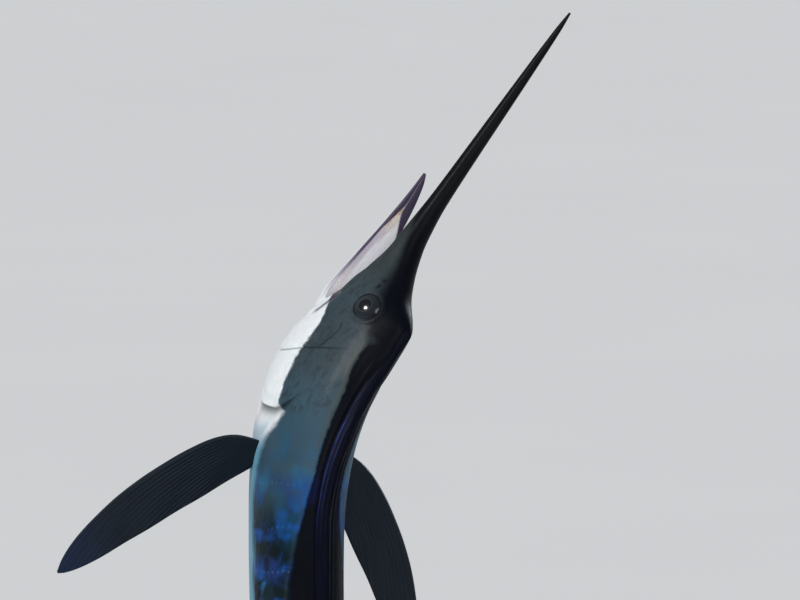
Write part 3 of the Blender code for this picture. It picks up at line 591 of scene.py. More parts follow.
def skin_relief(s, turn, y, z, base_s):
    """Height added to the smooth skin, how much painted shade its creases take, and the fold at the mouth's
    corner.
    """
    side_height = np.cos(2.0 * math.pi * turn)
    relief, crease_shade = np.zeros_like(s), np.zeros_like(s)
    tail_relief(side_height, base_s, relief)
    jaw_edge = ramp(base_s, 0.42, 0.05) * fall(base_s, 0.56, 0.02)
    relief += LIP_HEIGHT * jaw_edge * smooth(1.0 - np.abs(side_height + 0.74) / 0.22)
    gill_relief(side_height, base_s, relief, crease_shade)
    fold = cheek_relief(s, z, relief, crease_shade)
    throat_relief(side_height, base_s, relief, crease_shade)
    eye_relief(s, z, relief, crease_shade)
    body_relief(s, turn, y, z, relief)
    return relief, np.clip(crease_shade, 0.0, 1.0), fold


def skin_rows():
    """Positions of the skin's rings, closest round the head and the edge of the gill cover."""
    parts = ((0.0, 0.012, 6), (0.012, 0.385, 130), (0.385, 0.535, 128), (0.535, 0.56, 30), (0.56, 0.596, 30),
             (0.596, 0.632, 60), (0.632, 0.69, 46), (0.69, 0.6995, 12), (0.7003, 0.712, 14), (0.712, 0.8, 46),
             (0.8, 1.98, 330), (1.98, STALK_END_S, 40), (STALK_END_S, STALK_END_S + TAIL_ROOT_LENGTH, 14))
    rows = [np.linspace(start, end, count, endpoint=False) for start, end, count in parts[:-1]]
    rows.append(np.linspace(*parts[-1]))
    return np.concatenate(rows)


def make_body_skin():
    """Skin of the bill, head, body and tail root, in one closed surface."""
    rows = skin_rows()
    turn, base_s = np.meshgrid(np.arange(SKIN_COLUMNS) / SKIN_COLUMNS, rows)
    stalk = np.minimum(base_s, STALK_END_S)
    s, y, z = outline(stalk, turn)
    root = np.clip((base_s - STALK_END_S) / TAIL_ROOT_LENGTH, 0.0, 1.0)
    s = s + (base_s - stalk)
    y = y * (1.0 - 0.55 * root ** 1.5)
    z = z * (1.0 + 0.8 * root ** 0.85)
    s = s - 0.016 * root * (1.0 - (np.abs(z) / 0.037) ** 1.5)
    relief, crease_shade, fold = skin_relief(s, turn, y, z, base_s)
    dy = np.roll(y, -1, axis=1) - np.roll(y, 1, axis=1)
    dz = np.roll(z, -1, axis=1) - np.roll(z, 1, axis=1)
    size = np.hypot(dy, dz) + 1e-12
    y = y - dz / size * relief
    z = z + dy / size * relief
    ring = np.hypot(dy, dz) * 0.5
    run = np.cumsum(ring, axis=1)
    arc = np.minimum(run, np.sum(ring, axis=1, keepdims=True) - run)
    share = 2.0 * np.minimum(turn, 1.0 - turn)
    under = (base_s < HINGE_S + 0.001) & (base_s > 0.2)
    inside = under * ramp(share, 0.8, 0.06) * ramp(base_s, 0.24, 0.1) * fall(base_s, 0.525, 0.02)
    values = {
        "fish": np.stack([s, y, z], axis=-1),
        "lie": np.stack([s, arc, share], axis=-1),
        "band": (band_edge(s) - share) * FLANK_DEPTH,
        "white": (share - white_edge(s)) * FLANK_DEPTH,
        "crease_shade": crease_shade,
        "lip": fold,
        "mouth": inside,
        "jaw": np.zeros_like(s),
    }
    return outward(tube_mesh("skin", place(s, y, z), values))


def make_jaw():
    """Lower jaw, open, its rims rounded over the trough of the mouth, its root sunk in the head."""
    share = np.concatenate([[0.0, 0.004, 0.012], np.linspace(0.02, 1.0, JAW_ROWS)])
    turn, t = np.meshgrid(np.arange(JAW_COLUMNS) / JAW_COLUMNS, share)
    station = JAW_TIP_S + (HINGE_S - JAW_TIP_S) * t
    run = HINGE_S - station
    drop = math.tan(JAW_OPEN) * (run - 0.03 * smooth(run / 0.09))
    top = upper_jaw(HINGE_S) - GAP + JAW_TIP_LIFT * smooth(1.0 - t) - drop
    depth = JAW_TIP_DEPTH + (abs(belly(HINGE_S) - upper_jaw(HINGE_S)) - JAW_TIP_DEPTH) * t ** 0.98
    root_half = half_width(HINGE_S)
    wide = JAW_TIP_HALF_WIDTH + (root_half * JAW_ROOT_SHARE - JAW_TIP_HALF_WIDTH) * t ** 0.78
    wide = wide + root_half * 0.02 * ramp(t, 0.7, 0.3)
    hollow = 0.6 * depth * smooth(t / 0.1) * (1.0 - 0.92 * ramp(t, 0.74, 0.22))
    angle = 2.0 * math.pi * turn
    height, across = np.cos(angle), np.sin(angle)
    reach = np.abs(across)
    rim = JAW_RIM_HEIGHT * smooth(t / 0.06) * bump_at(reach, 0.93, 0.07)
    upper = top - hollow * (1.0 - smooth(reach / 0.96)) + rim
    floor_ridge = JAW_FLOOR_RIDGE * smooth(t / 0.2) * bump_at(across, 0.0, 0.1)
    z = np.where(height > 0.0, upper + floor_ridge, top + depth * height)
    z = z - 0.02 * depth * reach
    y = wide * across
    sunk = ramp(t, 0.88, 0.12)
    station = station + JAW_SUNK * sunk
    y = y * (1.0 - 0.2 * sunk)
    z = z - 0.01 * sunk * (height < 0.0) * -height
    pale_from = 0.88 * ramp(t, 0.2, 0.26) + 0.06 * ramp(t, 0.46, 0.2)
    root = ramp(t, 0.84, 0.12)
    inside = (height > 0.0) * smooth((pale_from - reach) / 0.1 + 0.5) * (1.0 - root)
    values = {
        "fish": np.stack([station, y, z], axis=-1),
        "lie": np.stack([station, across + 0.0 * t, 2.0 * np.minimum(turn, 1.0 - turn)], axis=-1),
        "band": np.full_like(z, -0.05),
        "white": np.full_like(z, 0.05),
        "crease_shade": np.zeros_like(z),
        "lip": np.zeros_like(z),
        "mouth": inside,
        "jaw": 1.0 - 0.97 * root,
    }
    return outward(tube_mesh("jaw", place(station, y, z), values))


def merge_skin(body, jaw):
    """Join the jaw to the head in one closed surface and carry the named values over."""
    places = [vertex.co for piece in (body, jaw) for vertex in piece.data.vertices]
    source = kdtree.KDTree(len(places))
    for index, point in enumerate(places):
        source.insert(point, index)
    source.balance()
    tables = {key: np.concatenate([read_attribute(piece.data, key) for piece in (body, jaw)])
              for key in SKIN_VALUES}
    union = body.modifiers.new("jaw", "BOOLEAN")
    union.operation = "UNION"
    union.solver = "MANIFOLD"
    union.object = jaw
    graph = bpy.context.evaluated_depsgraph_get()
    mesh = bpy.data.meshes.new_from_object(body.evaluated_get(graph))
    body.modifiers.clear()
    bpy.data.objects.remove(jaw)
    old = body.data
    body.data = mesh
    bpy.data.meshes.remove(old)
    blend_hinge(mesh)
    nearest = np.array([source.find(vertex.co)[1] for vertex in mesh.vertices])
    for key in tables:
        mesh.attributes.remove(mesh.attributes[key])
    points = np.array([vertex.co for vertex in mesh.vertices])
    near = np.linalg.norm(points - place(*EVEN_SPOT), axis=1) < EVEN_REACH
    ends = np.array([edge.vertices[:] for edge in mesh.edges])
    ends = ends[near[ends].any(axis=1)]
    for key, values in tables.items():
        carried = values[nearest]
        write_attribute(mesh, key, carried if key == "lie" else even_out(carried, ends, near))
    mesh.shade_smooth()
    mesh.name = "skin"
    return body


def even_out(values, ends, near):
    """Average the values of neighbouring points over a few passes."""
    values = values.astype(float)
    for _ in range(EVEN_PASSES):
        total = values.copy()
        count = np.ones(len(values))
        for a, b in ((0, 1), (1, 0)):
            np.add.at(total, ends[:, a], values[ends[:, b]])
            np.add.at(count, ends[:, a], 1.0)
        count = count if values.ndim == 1 else count[:, None]
        values[near] = (total / count)[near]
    return values


def blend_hinge(mesh):
    """Soften the line where the jaw runs into the throat."""
    shape = bmesh.new()
    shape.from_mesh(mesh)
    centre = Vector(place(*BLEND_SPOT))

    def near():
        return [vertex for vertex in shape.verts if (vertex.co - centre).length < BLEND_REACH]

    # Edges and faces are kept in order, each once, so that every run gives the same mesh.
    edges = dict.fromkeys(edge for vertex in near() for edge in vertex.link_edges)
    bmesh.ops.dissolve_degenerate(shape, dist=BLEND_WELD, edges=list(edges))
    bmesh.ops.remove_doubles(shape, verts=near(), dist=BLEND_WELD)
    faces = dict.fromkeys(face for vertex in near() for face in vertex.link_faces)
    split = bmesh.ops.triangulate(shape, faces=list(faces))
    bmesh.ops.beautify_fill(shape, faces=split["faces"], edges=split["edges"])
    line = set()
    for vertex in near():
        normals = [face.normal for face in vertex.link_faces]
        if any(a.dot(b) < BLEND_COSINE for a in normals for b in normals):
            line.add(vertex)
    for _ in range(BLEND_RINGS):
        line |= {edge.other_vert(vertex) for vertex in line for edge in vertex.link_edges}
    axes = {"use_axis_x": True, "use_axis_y": True, "use_axis_z": True}
    for _ in range(BLEND_PASSES):
        bmesh.ops.smooth_vert(shape, verts=list(line), factor=0.5, **axes)
    shape.to_mesh(mesh)
    shape.free()


def make_eye(name, side):
    """Flattened eyeball, set in its socket."""
    shape = bmesh.new()
    bmesh.ops.create_uvsphere(shape, u_segments=EYE_GRID[0], v_segments=EYE_GRID[1], radius=1.0)
    mesh = bpy.data.meshes.new(name)
    shape.to_mesh(mesh)
    shape.free()
    x, y, z = np.array([vertex.co for vertex in mesh.vertices]).T
    s, height = EYE_S + x * EYE_RADIUS, EYE_Z + y * EYE_RADIUS
    skin = flank(s, height) - EYE_SUNK
    points = place(s, side * (skin + z * EYE_HALF_DEPTH), height)
    mesh.vertices.foreach_set("co", points.ravel())
    write_attribute(mesh, "eye", np.stack([x, y, z], axis=-1))
    mesh.shade_smooth()
    return outward(add_object(name, mesh))


# Fins.


def make_blade(name, centre, half, columns, rows):
    """Closed thin fin: centre(u, v) gives points and a normal, half(u, v) the half thickness."""
    u, v = np.meshgrid(np.linspace(0.0, 1.0, columns + 1), np.linspace(0.0, 1.0, rows + 1))
    points, normal = centre(u, v)
    thick = half(u, v)[..., None] * normal
    sides = [points + thick, points - thick]
    flat = np.concatenate([side.reshape(-1, 3) for side in sides])
    count = (rows + 1) * (columns + 1)
    width = columns + 1
    faces = grid_faces(rows + 1, width, False)
    faces += [face[::-1] for face in grid_faces(rows + 1, width, False, count)]
    rim = list(range(width))
    rim += [row * width + columns for row in range(1, rows + 1)]
    rim += [rows * width + column for column in range(columns - 1, -1, -1)]
    rim += [row * width for row in range(rows - 1, 0, -1)]
    for index, a in enumerate(rim):
        b = rim[(index + 1) % len(rim)]
        faces.append((a, b, count + b, count + a))
    fin = np.stack([u, v, ray_phase(u, v)], axis=-1).reshape(-1, 3)
    return outward(mesh_object(name, flat, faces, {"fin": np.concatenate([fin, fin])}))


def ray_phase(u, v):
    """Which ray a point of a swept fin lies on, from 0 at the leading edge to 1 at the last ray's root."""
    return u * (1.0 - v) ** 0.62


def rays_relief(u, v, rays, height):
    """Rounded ridges of the rays, each split in two towards its end."""
    phase = ray_phase(u, v) * rays
    split = ramp(v, 0.45, 0.25)
    return height * (wave(phase) ** 1.4 * (1.0 - split) + 0.75 * wave(2.0 * phase) ** 1.4 * split)


def middle_plane(lead, trail):
    """Centre of a fin in the fish's middle plane, between a leading and a trailing edge in (s, z)."""
    def centre(u, v):
        (s0, z0), (s1, z1) = lead(v), trail(v)
        s, z = s0 + (s1 - s0) * u, z0 + (z1 - z0) * u
        left, _ = directions(s)
        return place(s, 0.0, z), left @ LEAN_TURN.T

    return centre


def midline_fin(name, edges, rays, thick, relief, columns, rows):
    """Fin of the back or the belly, in the fish's middle plane."""
    def half(u, v):
        body = thick * (1.0 - v) ** 0.8 * np.sin(math.pi * np.minimum(1.0, u * 0.9 + 0.08)) ** 0.5
        fade = faded(u, 0.05, 0.05) * smooth((1.0 - v) / 0.1)
        return EDGE_HALF + (body + rays_relief(u, v, rays, relief)) * fade

    return make_blade(name, middle_plane(*edges), half, columns, rows)


def falcate(base_start, base_length, height, side, hook):
    """Edges of a fin with a swept tip: side is 1 on the back and -1 on the belly."""
    surface = back if side > 0 else belly
    sunk = 0.008

    def lead(v):
        return base_start + hook * v ** 1.15, surface(base_start) - side * sunk + side * (height + sunk) * v

    def trail(v):
        root_s = base_start + base_length
        s = root_s + (base_start + hook + 0.003 - root_s) * (0.15 * v + 0.85 * v ** 0.45)
        z0 = surface(root_s) - side * sunk
        z1 = surface(base_start) + side * (height - 0.002)
        return s, z0 + (z1 - z0) * v ** 1.9

    return lead, trail


def caudal_lobe(name, side):
    """One lobe of the tail fin, from the middle plane out to its tip."""
    stem, stem_half = 0.07, 0.0208
    inner = GAP / 2
    start_s = STALK_END_S + GAP

    def lead(v):
        t = np.clip((v - stem) / (1.0 - stem), 0.0, 1.0)
        outer = stem_half + (TAIL_HALF_SPAN - stem_half) * t ** 0.96
        z = side * np.where(v <= stem, inner + (stem_half - inner) * v / stem, outer)
        return start_s + (TAIL_TIP_S - start_s) * (0.62 * t + 0.38 * t ** 2.2), z

    def trail(v):
        z = side * (inner + (TAIL_HALF_SPAN - 0.002 - inner) * v ** 1.05)
        return FORK_S + (TAIL_TIP_S + 0.004 - FORK_S) * (0.56 * v + 0.44 * v ** 2.6), z

    def half(u, v):
        flesh = 0.002 * (1.0 - u) ** 1.5 * (1.0 - v) ** 7
        flesh += 0.0026 * (1.0 - v) ** 3 * (0.4 + 0.6 * smooth(u / 0.25))
        blade = 0.0028 * (1.0 - v) ** 0.7 * (1.0 - 0.75 * u) * np.where(v > stem, smooth(u / 0.04), 1.0)
        rays = tail_rays(u, v) * faded(u, 0.06, 0.05) * ramp(v, 0.03, 0.08)
        return EDGE_HALF + (flesh + blade + rays) * smooth((1.0 - v) / 0.08)

    return make_blade(name, middle_plane(lead, trail), half, *TAIL_GRID)


def tail_rays(u, v):
    """Ridges of the tail's rays: close and parallel along the leading edge, spread behind it."""
    return 0.0009 * wave((1.0 - v) * 9.0 + u * 5.0) ** 1.4


def pectoral(name, side, sweep, root_s):
    """Long pectoral fin, spread from the flank and swept back by the given angle."""
    lead = eased(curve(((0.0, 0.002), (0.045, 0.015), (0.09, 0.0335), (0.16, 0.049), (0.25, 0.0578),
                        (0.38, 0.0613), (0.48, 0.0608), (0.62, 0.0562), (0.79, 0.042), (0.9, 0.0275),
                        (0.96, 0.015), (1.0, 0.002))))
    trail = eased(curve(((0.0, -0.0215), (0.2, -0.018), (0.48, -0.0152), (0.79, -0.0138), (0.92, -0.011),
                         (0.97, -0.0065), (1.0, -0.001))))
    tailward, left, up = frame_at(root_s)
    out = left * side
    along = unit(out * math.cos(sweep) + tailward * math.sin(sweep))
    forward = unit(out * math.sin(sweep) - tailward * math.cos(sweep))
    root = place(root_s, side * (half_width(root_s) - PECTORAL_SUNK), PECTORAL_Z)
    normal = np.cross(along, forward)

    def centre(u, v):
        width = lead(v) + (trail(v) - lead(v)) * u
        twist = PECTORAL_TWIST * (1.0 - v)
        across = forward * np.cos(twist)[..., None] + up * np.sin(twist)[..., None]
        bow = PECTORAL_BOW * v * v + 0.0012 * np.sin(26.0 * v + 2.0) * ramp(u, 0.5, 0.5) * smooth(v / 0.1)
        point = root + along * (v * (PECTORAL_LENGTH + PECTORAL_SUNK))[..., None] + across * width[..., None]
        return point - up * bow[..., None], normal

    def half(u, v):
        body = (0.005 * (1.0 - v) ** 2 + 0.0022 * (1.0 - v) ** 0.6) * (1.0 - 0.6 * u)
        body += rays_relief(u, v, PECTORAL_RAYS, 0.0006) * ramp(v, 0.1, 0.12)
        flesh = 0.006 * smooth(1.0 - v / 0.2) * faded(u, 0.1, 0.15)
        return EDGE_HALF + body * faded(u, 0.045, 0.045) * smooth((1.0 - v) / 0.06) + flesh

    return make_blade(name, centre, half, *PECTORAL_GRID)


def pelvic(name, side):
    """Long narrow pelvic fin, trailing from the belly."""
    def centre(u, v):
        s = PELVIC_S + PELVIC_LENGTH * v
        wide = 0.0075 * (1.0 - 0.75 * v) * (1.0 - 2.0 * u)
        drop = belly(s) + 0.01 - 0.058 * (1.0 - (1.0 - v) ** 2.2)
        left, _ = directions(s)
        return place(s + 0.004 * wide, side * (0.01 + 0.012 * v), drop + wide), left @ LEAN_TURN.T

    def half(u, v):
        body = 0.0016 * (1.0 - 0.6 * v) + 0.0005 * wave(PELVIC_RAYS * u)
        return EDGE_HALF + body * faded(u, 0.2, 0.2) * smooth((1.0 - v) / 0.05)

    return make_blade(name, centre, half, *PELVIC_GRID)


def make_sail():
    """Folded sail: its rays lie side by side along the back, each coming up between two others."""
    rows, columns = SAIL_GRID
    s = np.linspace(SAIL_START_S, SAIL_END_S, rows)[:, None]
    angle = np.linspace(0.0, 2.0 * math.pi, columns, endpoint=False)[None, :]
    across, height = np.cos(angle), np.sin(angle)
    across = np.sign(across) * np.abs(across) ** 0.85
    rise, spread = sail_rise(s), sail_spread(s)
    top = rise * (1.0 - np.abs(across) ** 2.6)
    drift = 0.35 * np.sin(s * 17.0) + 1.6 * (s - SAIL_START_S)
    phase = across * 4.5 + drift * np.abs(across)
    pleat = wave(phase) ** 0.8
    lumps = 0.0006 * np.sin(s * 61.0 + 9.0 * across) * np.sin(s * 37.0 + 4.0 * across)
    upper = top + (lumps - 0.0015 * (1.0 - pleat)) * smooth(rise / 0.01)
    z = back(s) + np.where(height > 0.0, upper, -0.006)
    share = np.clip((across + 1.0) / 2.0, 0.0, 1.0)
    along = (s - SAIL_START_S) / (SAIL_END_S - SAIL_START_S)
    values = {"fin": np.stack(np.broadcast_arrays(share, along, phase), axis=-1),
              "pleat": np.where(height > 0.0, pleat, 0.0)}
    return outward(tube_mesh("sail", place(s, spread * across, z), values))


# Materials.


class Value:
    """Output of a node. Arithmetic on it adds the nodes that work it out."""

    def __init__(self, shader, socket):
        self.shader = shader
        self.socket = socket

    def __add__(self, other):
        return self.shader.math("ADD", self, other)

    def __sub__(self, other):
        return self.shader.math("SUBTRACT", self, other)

    def __rsub__(self, other):
        return self.shader.math("SUBTRACT", other, self)

    def __mul__(self, other):
        return self.shader.math("MULTIPLY", self, other)

    def __truediv__(self, other):
        return self.shader.math("DIVIDE", self, other)

    def __pow__(self, other):
        return self.shader.math("POWER", self, other)

    def __abs__(self):
        return self.shader.math("ABSOLUTE", self)

    def rise(self, low, high, start=0.0, end=1.0):
        """Smooth step from start to end as the value goes from low to high."""
        inputs = dict(enumerate((self, low, high, start, end)))
        return self.shader.add("ShaderNodeMapRange", inputs, interpolation_type="SMOOTHSTEP")

    def fall(self, low, high):
        """Smooth step from 1 to 0 as the value goes from low to high."""
        return self.rise(low, high, 1.0, 0.0)


class Shader:
    """Short calls for building one material's nodes."""

    def __init__(self, name):
        self.material = bpy.data.materials.new(name)
        self.material.use_nodes = True
        self.tree = self.material.node_tree

    def feed(self, socket, value):
        """Link a socket to a value, or set the input's own value."""
        if isinstance(value, Value):
            self.tree.links.new(value.socket, socket)
        elif isinstance(value, tuple) and socket.type == "RGBA":
            socket.default_value = (*value, 1.0)
        else:
            socket.default_value = value

    def node(self, kind, inputs, **settings):
        """Add a node, set its properties and feed its inputs, by place or by name."""
        node = self.tree.nodes.new(kind)
        for key, value in settings.items():
            setattr(node, key, value)
        for key, value in inputs.items():
            self.feed(node.inputs[key], value)
        return node

    def add(self, kind, inputs, output=0, **settings):
        """Add a node and return one of its outputs."""
        return Value(self, self.node(kind, inputs, **settings).outputs[output])

    def math(self, operation, *values):
        """Number worked out from others."""
        return self.add("ShaderNodeMath", dict(enumerate(values)), operation=operation)

    def vector(self, operation, *values):
        """Vector worked out from others."""
        return self.add("ShaderNodeVectorMath", dict(enumerate(values)), operation=operation)

    def mix(self, factor, first, second):
        """Mix of two colours."""
        return self.add("ShaderNodeMix", {0: factor, 6: first, 7: second}, 2, data_type="RGBA")

    def noise(self, place_at, scale, detail=3.0, roughness=0.5, distortion=0.0):
        """Noise between 0 and 1. Its scale is one number, or one for each direction."""
        if isinstance(scale, tuple):
            place_at, scale = self.vector("MULTIPLY", place_at, scale), 1.0
        inputs = {"Vector": place_at, "Scale": scale, "Detail": detail, "Roughness": roughness,
                  "Distortion": distortion}
        return self.add("ShaderNodeTexNoise", inputs)

    def named(self, key, output="Fac"):
        """Value stored at the mesh's points."""
        return self.add("ShaderNodeAttribute", {}, output, attribute_name=key)

    def here(self):
        """Position on the object."""
        return self.add("ShaderNodeTexCoord", {}, "Object")

    def parts(self, vector):
        """Three numbers of a vector."""
        return [Value(self, socket) for socket in self.node("ShaderNodeSeparateXYZ", {0: vector}).outputs]

    def combine(self, x, y, z=0.0):
        """Vector from three numbers."""
        return self.add("ShaderNodeCombineXYZ", {0: x, 1: y, 2: z})

    def bump(self, height, strength, distance):
        """Fine relief."""
        return self.add("ShaderNodeBump", {"Height": height, "Strength": strength, "Distance": distance})

    def finish(self, colour, roughness, normal=None, **fixed):
        """Connect the surface, and set its other inputs to fixed numbers."""
        inputs = self.tree.nodes["Principled BSDF"].inputs
        self.feed(inputs["Base Color"], colour)
        self.feed(inputs["Roughness"], roughness)
        if normal is not None:
            self.feed(inputs["Normal"], normal)
        for key, value in fixed.items():
            inputs[key.replace("_", " ")].default_value = value
        return self.material


class SkinShader(Shader):
    """Places, noises and regions that the colours of the skin share, and one method for each region."""

    def __init__(self):
        super().__init__("fish_skin")
        self.fish = self.named("fish", "Vector")
        self.s = self.parts(self.fish)[0]
        _, self.arc, self.share = self.parts(self.named("lie", "Vector"))
        self.broad = self.noise(self.fish, 14.0, 4.0)
        self.fine = self.noise(self.fish, 95.0, 3.0, 0.6)
        self.speck = self.noise(self.fish, 420.0, 2.0, 0.6)
        self.streak = self.noise(self.fish, (16.0, 150.0, 150.0), 3.0, 0.6)
        self.head = self.s.fall(0.69, 0.706)
        self.bill = self.s.fall(0.3, 0.43)

    def flank(self):
        """Steel blue and grey behind the head, then dark green-black."""
        s, share, broad = self.s, self.share, self.broad
        high = self.mix(broad, (0.022, 0.044, 0.064), (0.046, 0.094, 0.13))
        violet = share.rise(0.4, 0.58) * s.rise(0.7, 0.76)
        high = self.mix(violet * 0.4, high, (0.046, 0.044, 0.078))
        low = self.mix(broad, (0.0012, 0.004, 0.006), (0.0055, 0.015, 0.0185))
        colour = self.mix(s.rise(0.775, 0.875), high, low)
        cloud = self.noise(self.fish, (9.0, 15.0, 15.0), 2.0, 0.5, 0.4)
        steel = cloud.rise(0.46, 0.62) * s.rise(0.7, 0.76) * s.rise(0.82, 0.92, 0.6, 0.16)
        colour = self.mix(steel, colour, (0.014, 0.088, 0.17))
        azure = self.noise(self.fish, (17.0, 12.0, 12.0), 2.0, 0.5)
        upper = share.fall(0.19, 0.36) * s.rise(0.695, 0.735) * s.fall(0.83, 0.9)
        upper = upper * azure.rise(0.42, 0.58, 0.1, 0.8)
        blue = self.mix(s.rise(0.77, 0.82), (0.022, 0.096, 0.17), (0.006, 0.075, 0.27))
        return self.mix(upper, colour, blue)

    def bars(self, colour):
        """Bars across the flank: broken blue light with a row of pale dots in each."""
        s, share = self.s, self.share
        wobble = (self.noise(self.fish, (9.0, 17.0, 17.0), 2.0) - 0.5) * 0.9
        bar = s / BAR_SPACING + BAR_PHASE
        near_bar = abs(self.math("FRACT", bar + wobble) - 0.5)
        on_flank = s.rise(0.74, 0.8) * s.fall(1.9, 1.98) * share.fall(0.66, 0.8)
        patch = self.noise(self.fish, 30.0, 3.0, 0.55, 0.5) - near_bar * 0.62
        lights = patch.rise(0.24, 0.6) * on_flank * s.rise(1.0, 1.6, 0.85, 0.6) * s.rise(0.8, 0.88, 0.45, 1.0)
        hue = self.noise(self.fish, 15.6, 2.0)
        light = self.mix(hue.rise(0.4, 0.54), (0.012, 0.034, 0.15), (0.005, 0.075, 0.33))
        light = self.mix(hue.rise(0.54, 0.66), light, (0.014, 0.16, 0.34))
        colour = self.mix(lights, colour, light)
        across = abs(self.math("FRACT", bar + wobble * 0.25) - 0.5) * (1000.0 * BAR_SPACING)
        along = abs(self.math("FRACT", self.arc / DOT_SPACING) - 0.5) * (1000.0 * DOT_SPACING)
        spot = self.math("SQRT", across ** 2.0 + along ** 2.0) + self.fine * 1.6
        spot = spot.fall(1.9, 3.9) * on_flank * share.rise(0.16, 0.24) * s.rise(0.85, 1.15, 0.06, 0.4)
        return self.mix(spot, colour, (0.13, 0.36, 0.6))

    def cheek(self):
        """Cheek and gill cover, with a faint green and a bluer rear edge."""
        s, broad = self.s, self.broad
        colour = self.mix(broad, (0.026, 0.04, 0.05), (0.05, 0.07, 0.084))
        colour = self.mix(self.fine.rise(0.45, 0.75, 0.0, 0.4), colour, (0.04, 0.052, 0.042))
        rear = self.mix(broad, (0.024, 0.056, 0.08), (0.048, 0.094, 0.128))
        colour = self.mix(s.rise(0.61, 0.69, 0.0, 0.8), colour, rear)
        mottle = self.noise(self.fish, (55.0, 85.0, 85.0), 4.0, 0.62, 0.6)
        colour = self.mix(mottle.rise(0.46, 0.66, 0.0, 0.55), colour, (0.018, 0.026, 0.032))
        front = self.mix(self.streak, (0.02, 0.026, 0.028), (0.04, 0.05, 0.05))
        return self.mix(s.fall(0.42, 0.52), colour, front)

    def belly(self, colour):
        """White throat, and a belly that is cyan along the flank and silver below."""
        s, fine, broad, head = self.s, self.fine, self.broad, self.head
        ragged = self.named("white") + (fine - 0.5) * 0.006 + (broad - 0.5) * 0.01
        shore = ragged + (self.noise(self.fish, (10.0, 34.0, 34.0), 4.0, 0.6, 0.4) - 0.5) * 0.03
        spread = s.rise(0.74, 0.9)
        white_body = ragged.rise(-0.003, 0.006) * (1.0 - spread) + shore.rise(-0.006, 0.012) * spread
        white = head * ragged.rise(-0.0012, 0.0022) + (1.0 - head) * white_body
        silver = self.mix(fine, (0.56, 0.62, 0.66), (0.8, 0.83, 0.84))
        rosy = broad.rise(0.46, 0.64) * s.rise(0.695, 0.705, 0.1, 0.45)
        silver = self.mix(rosy, silver, (0.7, 0.54, 0.54))
        lapped = self.share + (self.noise(self.fish, (7.0, 26.0, 26.0), 4.0, 0.6, 0.3) - 0.5) * 0.24
        edge = self.math("MAXIMUM", ragged.rise(0.004, 0.012) * s.fall(0.7, 0.8), s.rise(0.715, 0.76))
        edge = lapped.fall(0.66, 0.84) * s.rise(0.71, 0.742) * edge
        silver = self.mix(edge * 0.94, silver, self.mix(broad, (0.05, 0.19, 0.28), (0.12, 0.32, 0.43)))
        return self.mix(white, colour, silver)

    def back(self, colour):
        """Black back, its edge soft on the head and the tail and crisp along the front of the flank."""
        s = self.s
        band = self.named("band") + (self.fine - 0.5) * 0.004
        behind = s.rise(0.55, 0.575)
        soft = s.rise(0.86, 1.1)
        low = behind.rise(0.0, 1.0, -0.017, -0.0016) + soft.rise(0.0, 1.0, 0.0, -0.014)
        high = behind.rise(0.0, 1.0, 0.016, 0.0016) + soft.rise(0.0, 1.0, 0.0, 0.01)
        black = self.mix(self.streak, (0.0007, 0.0011, 0.0024), (0.0026, 0.0038, 0.008))
        sheen = self.broad.rise(0.5, 0.66) * s.rise(0.66, 0.8)
        black = self.mix(sheen * 0.75, black, (0.003, 0.0045, 0.03))
        colour = self.mix(band.rise(low, high), colour, black)
        # Painted highlight: a pale olive line on the low ridge where the dark back ends, as if its lip caught
        # the light.
        ridge = band.rise(-0.007, -0.003) * band.fall(-0.0028, -0.0002)
        ridge = ridge * behind * s.rise(0.66, 0.8, 0.6, 0.15)
        return self.mix(ridge, colour, (0.058, 0.058, 0.042))

    def horn(self, colour):
        """Bill: near-black, browner and rubbed paler along the side."""
        horn = self.mix(self.streak, (0.0016, 0.002, 0.0028), (0.007, 0.008, 0.0095))
        horn = self.mix(self.speck.rise(0.58, 0.72, 0.0, 0.45), horn, (0.015, 0.016, 0.016))
        return self.mix(self.bill, colour, horn)

    def jaw(self, colour):
        """Lower jaw: a purple rim, white below, and in the mouth cream and lilac, with painted light that
        whitens the mouth's far side.
        """
        s, fine = self.s, self.fine
        jaw = self.named("jaw")
        rim = self.mix(self.streak, (0.034, 0.03, 0.062), (0.115, 0.098, 0.15))
        rim = self.mix(fine.rise(0.5, 0.7, 0.0, 0.5), rim, (0.085, 0.035, 0.075))
        rim = self.mix(s.rise(0.455, 0.52, 0.0, 0.7), rim, (0.46, 0.45, 0.52))
        below = self.share.rise(s.rise(0.31, 0.42, 0.64, 0.55), s.rise(0.31, 0.42, 0.7, 0.6))
        outer = self.mix(below, rim, self.mix(fine, (0.62, 0.66, 0.7), (0.82, 0.85, 0.86)))
        cream = self.mix(fine.rise(0.52, 0.66), (0.86, 0.77, 0.68), (0.6, 0.46, 0.3))
        lilac = self.mix(self.broad, (0.62, 0.55, 0.63), (0.78, 0.72, 0.78))
        rose = self.mix(self.broad, (0.9, 0.84, 0.84), (0.95, 0.92, 0.92))
        flesh = self.mix(s.rise(0.385, 0.43), cream, self.mix(s.rise(0.45, 0.52), lilac, rose))
        # Painted light: the inner side of the mouth's far rim is made near-white, as if lit straight on.
        far_side_light = self.arc.rise(s.rise(0.36, 0.46, -0.45, 0.42), s.rise(0.36, 0.46, -0.75, 0.05))
        flesh = self.mix(far_side_light * jaw, flesh, (0.96, 0.97, 0.97))
        lip = self.named("lip")
        colour = self.mix(self.named("mouth"), self.mix(jaw, colour, outer), flesh)
        colour = self.mix(lip.rise(0.08, 0.4, 0.0, 0.32), colour, (0.24, 0.25, 0.29))
        return self.mix(lip.rise(0.34, 0.84, 0.0, 0.88), colour, (0.045, 0.026, 0.044))

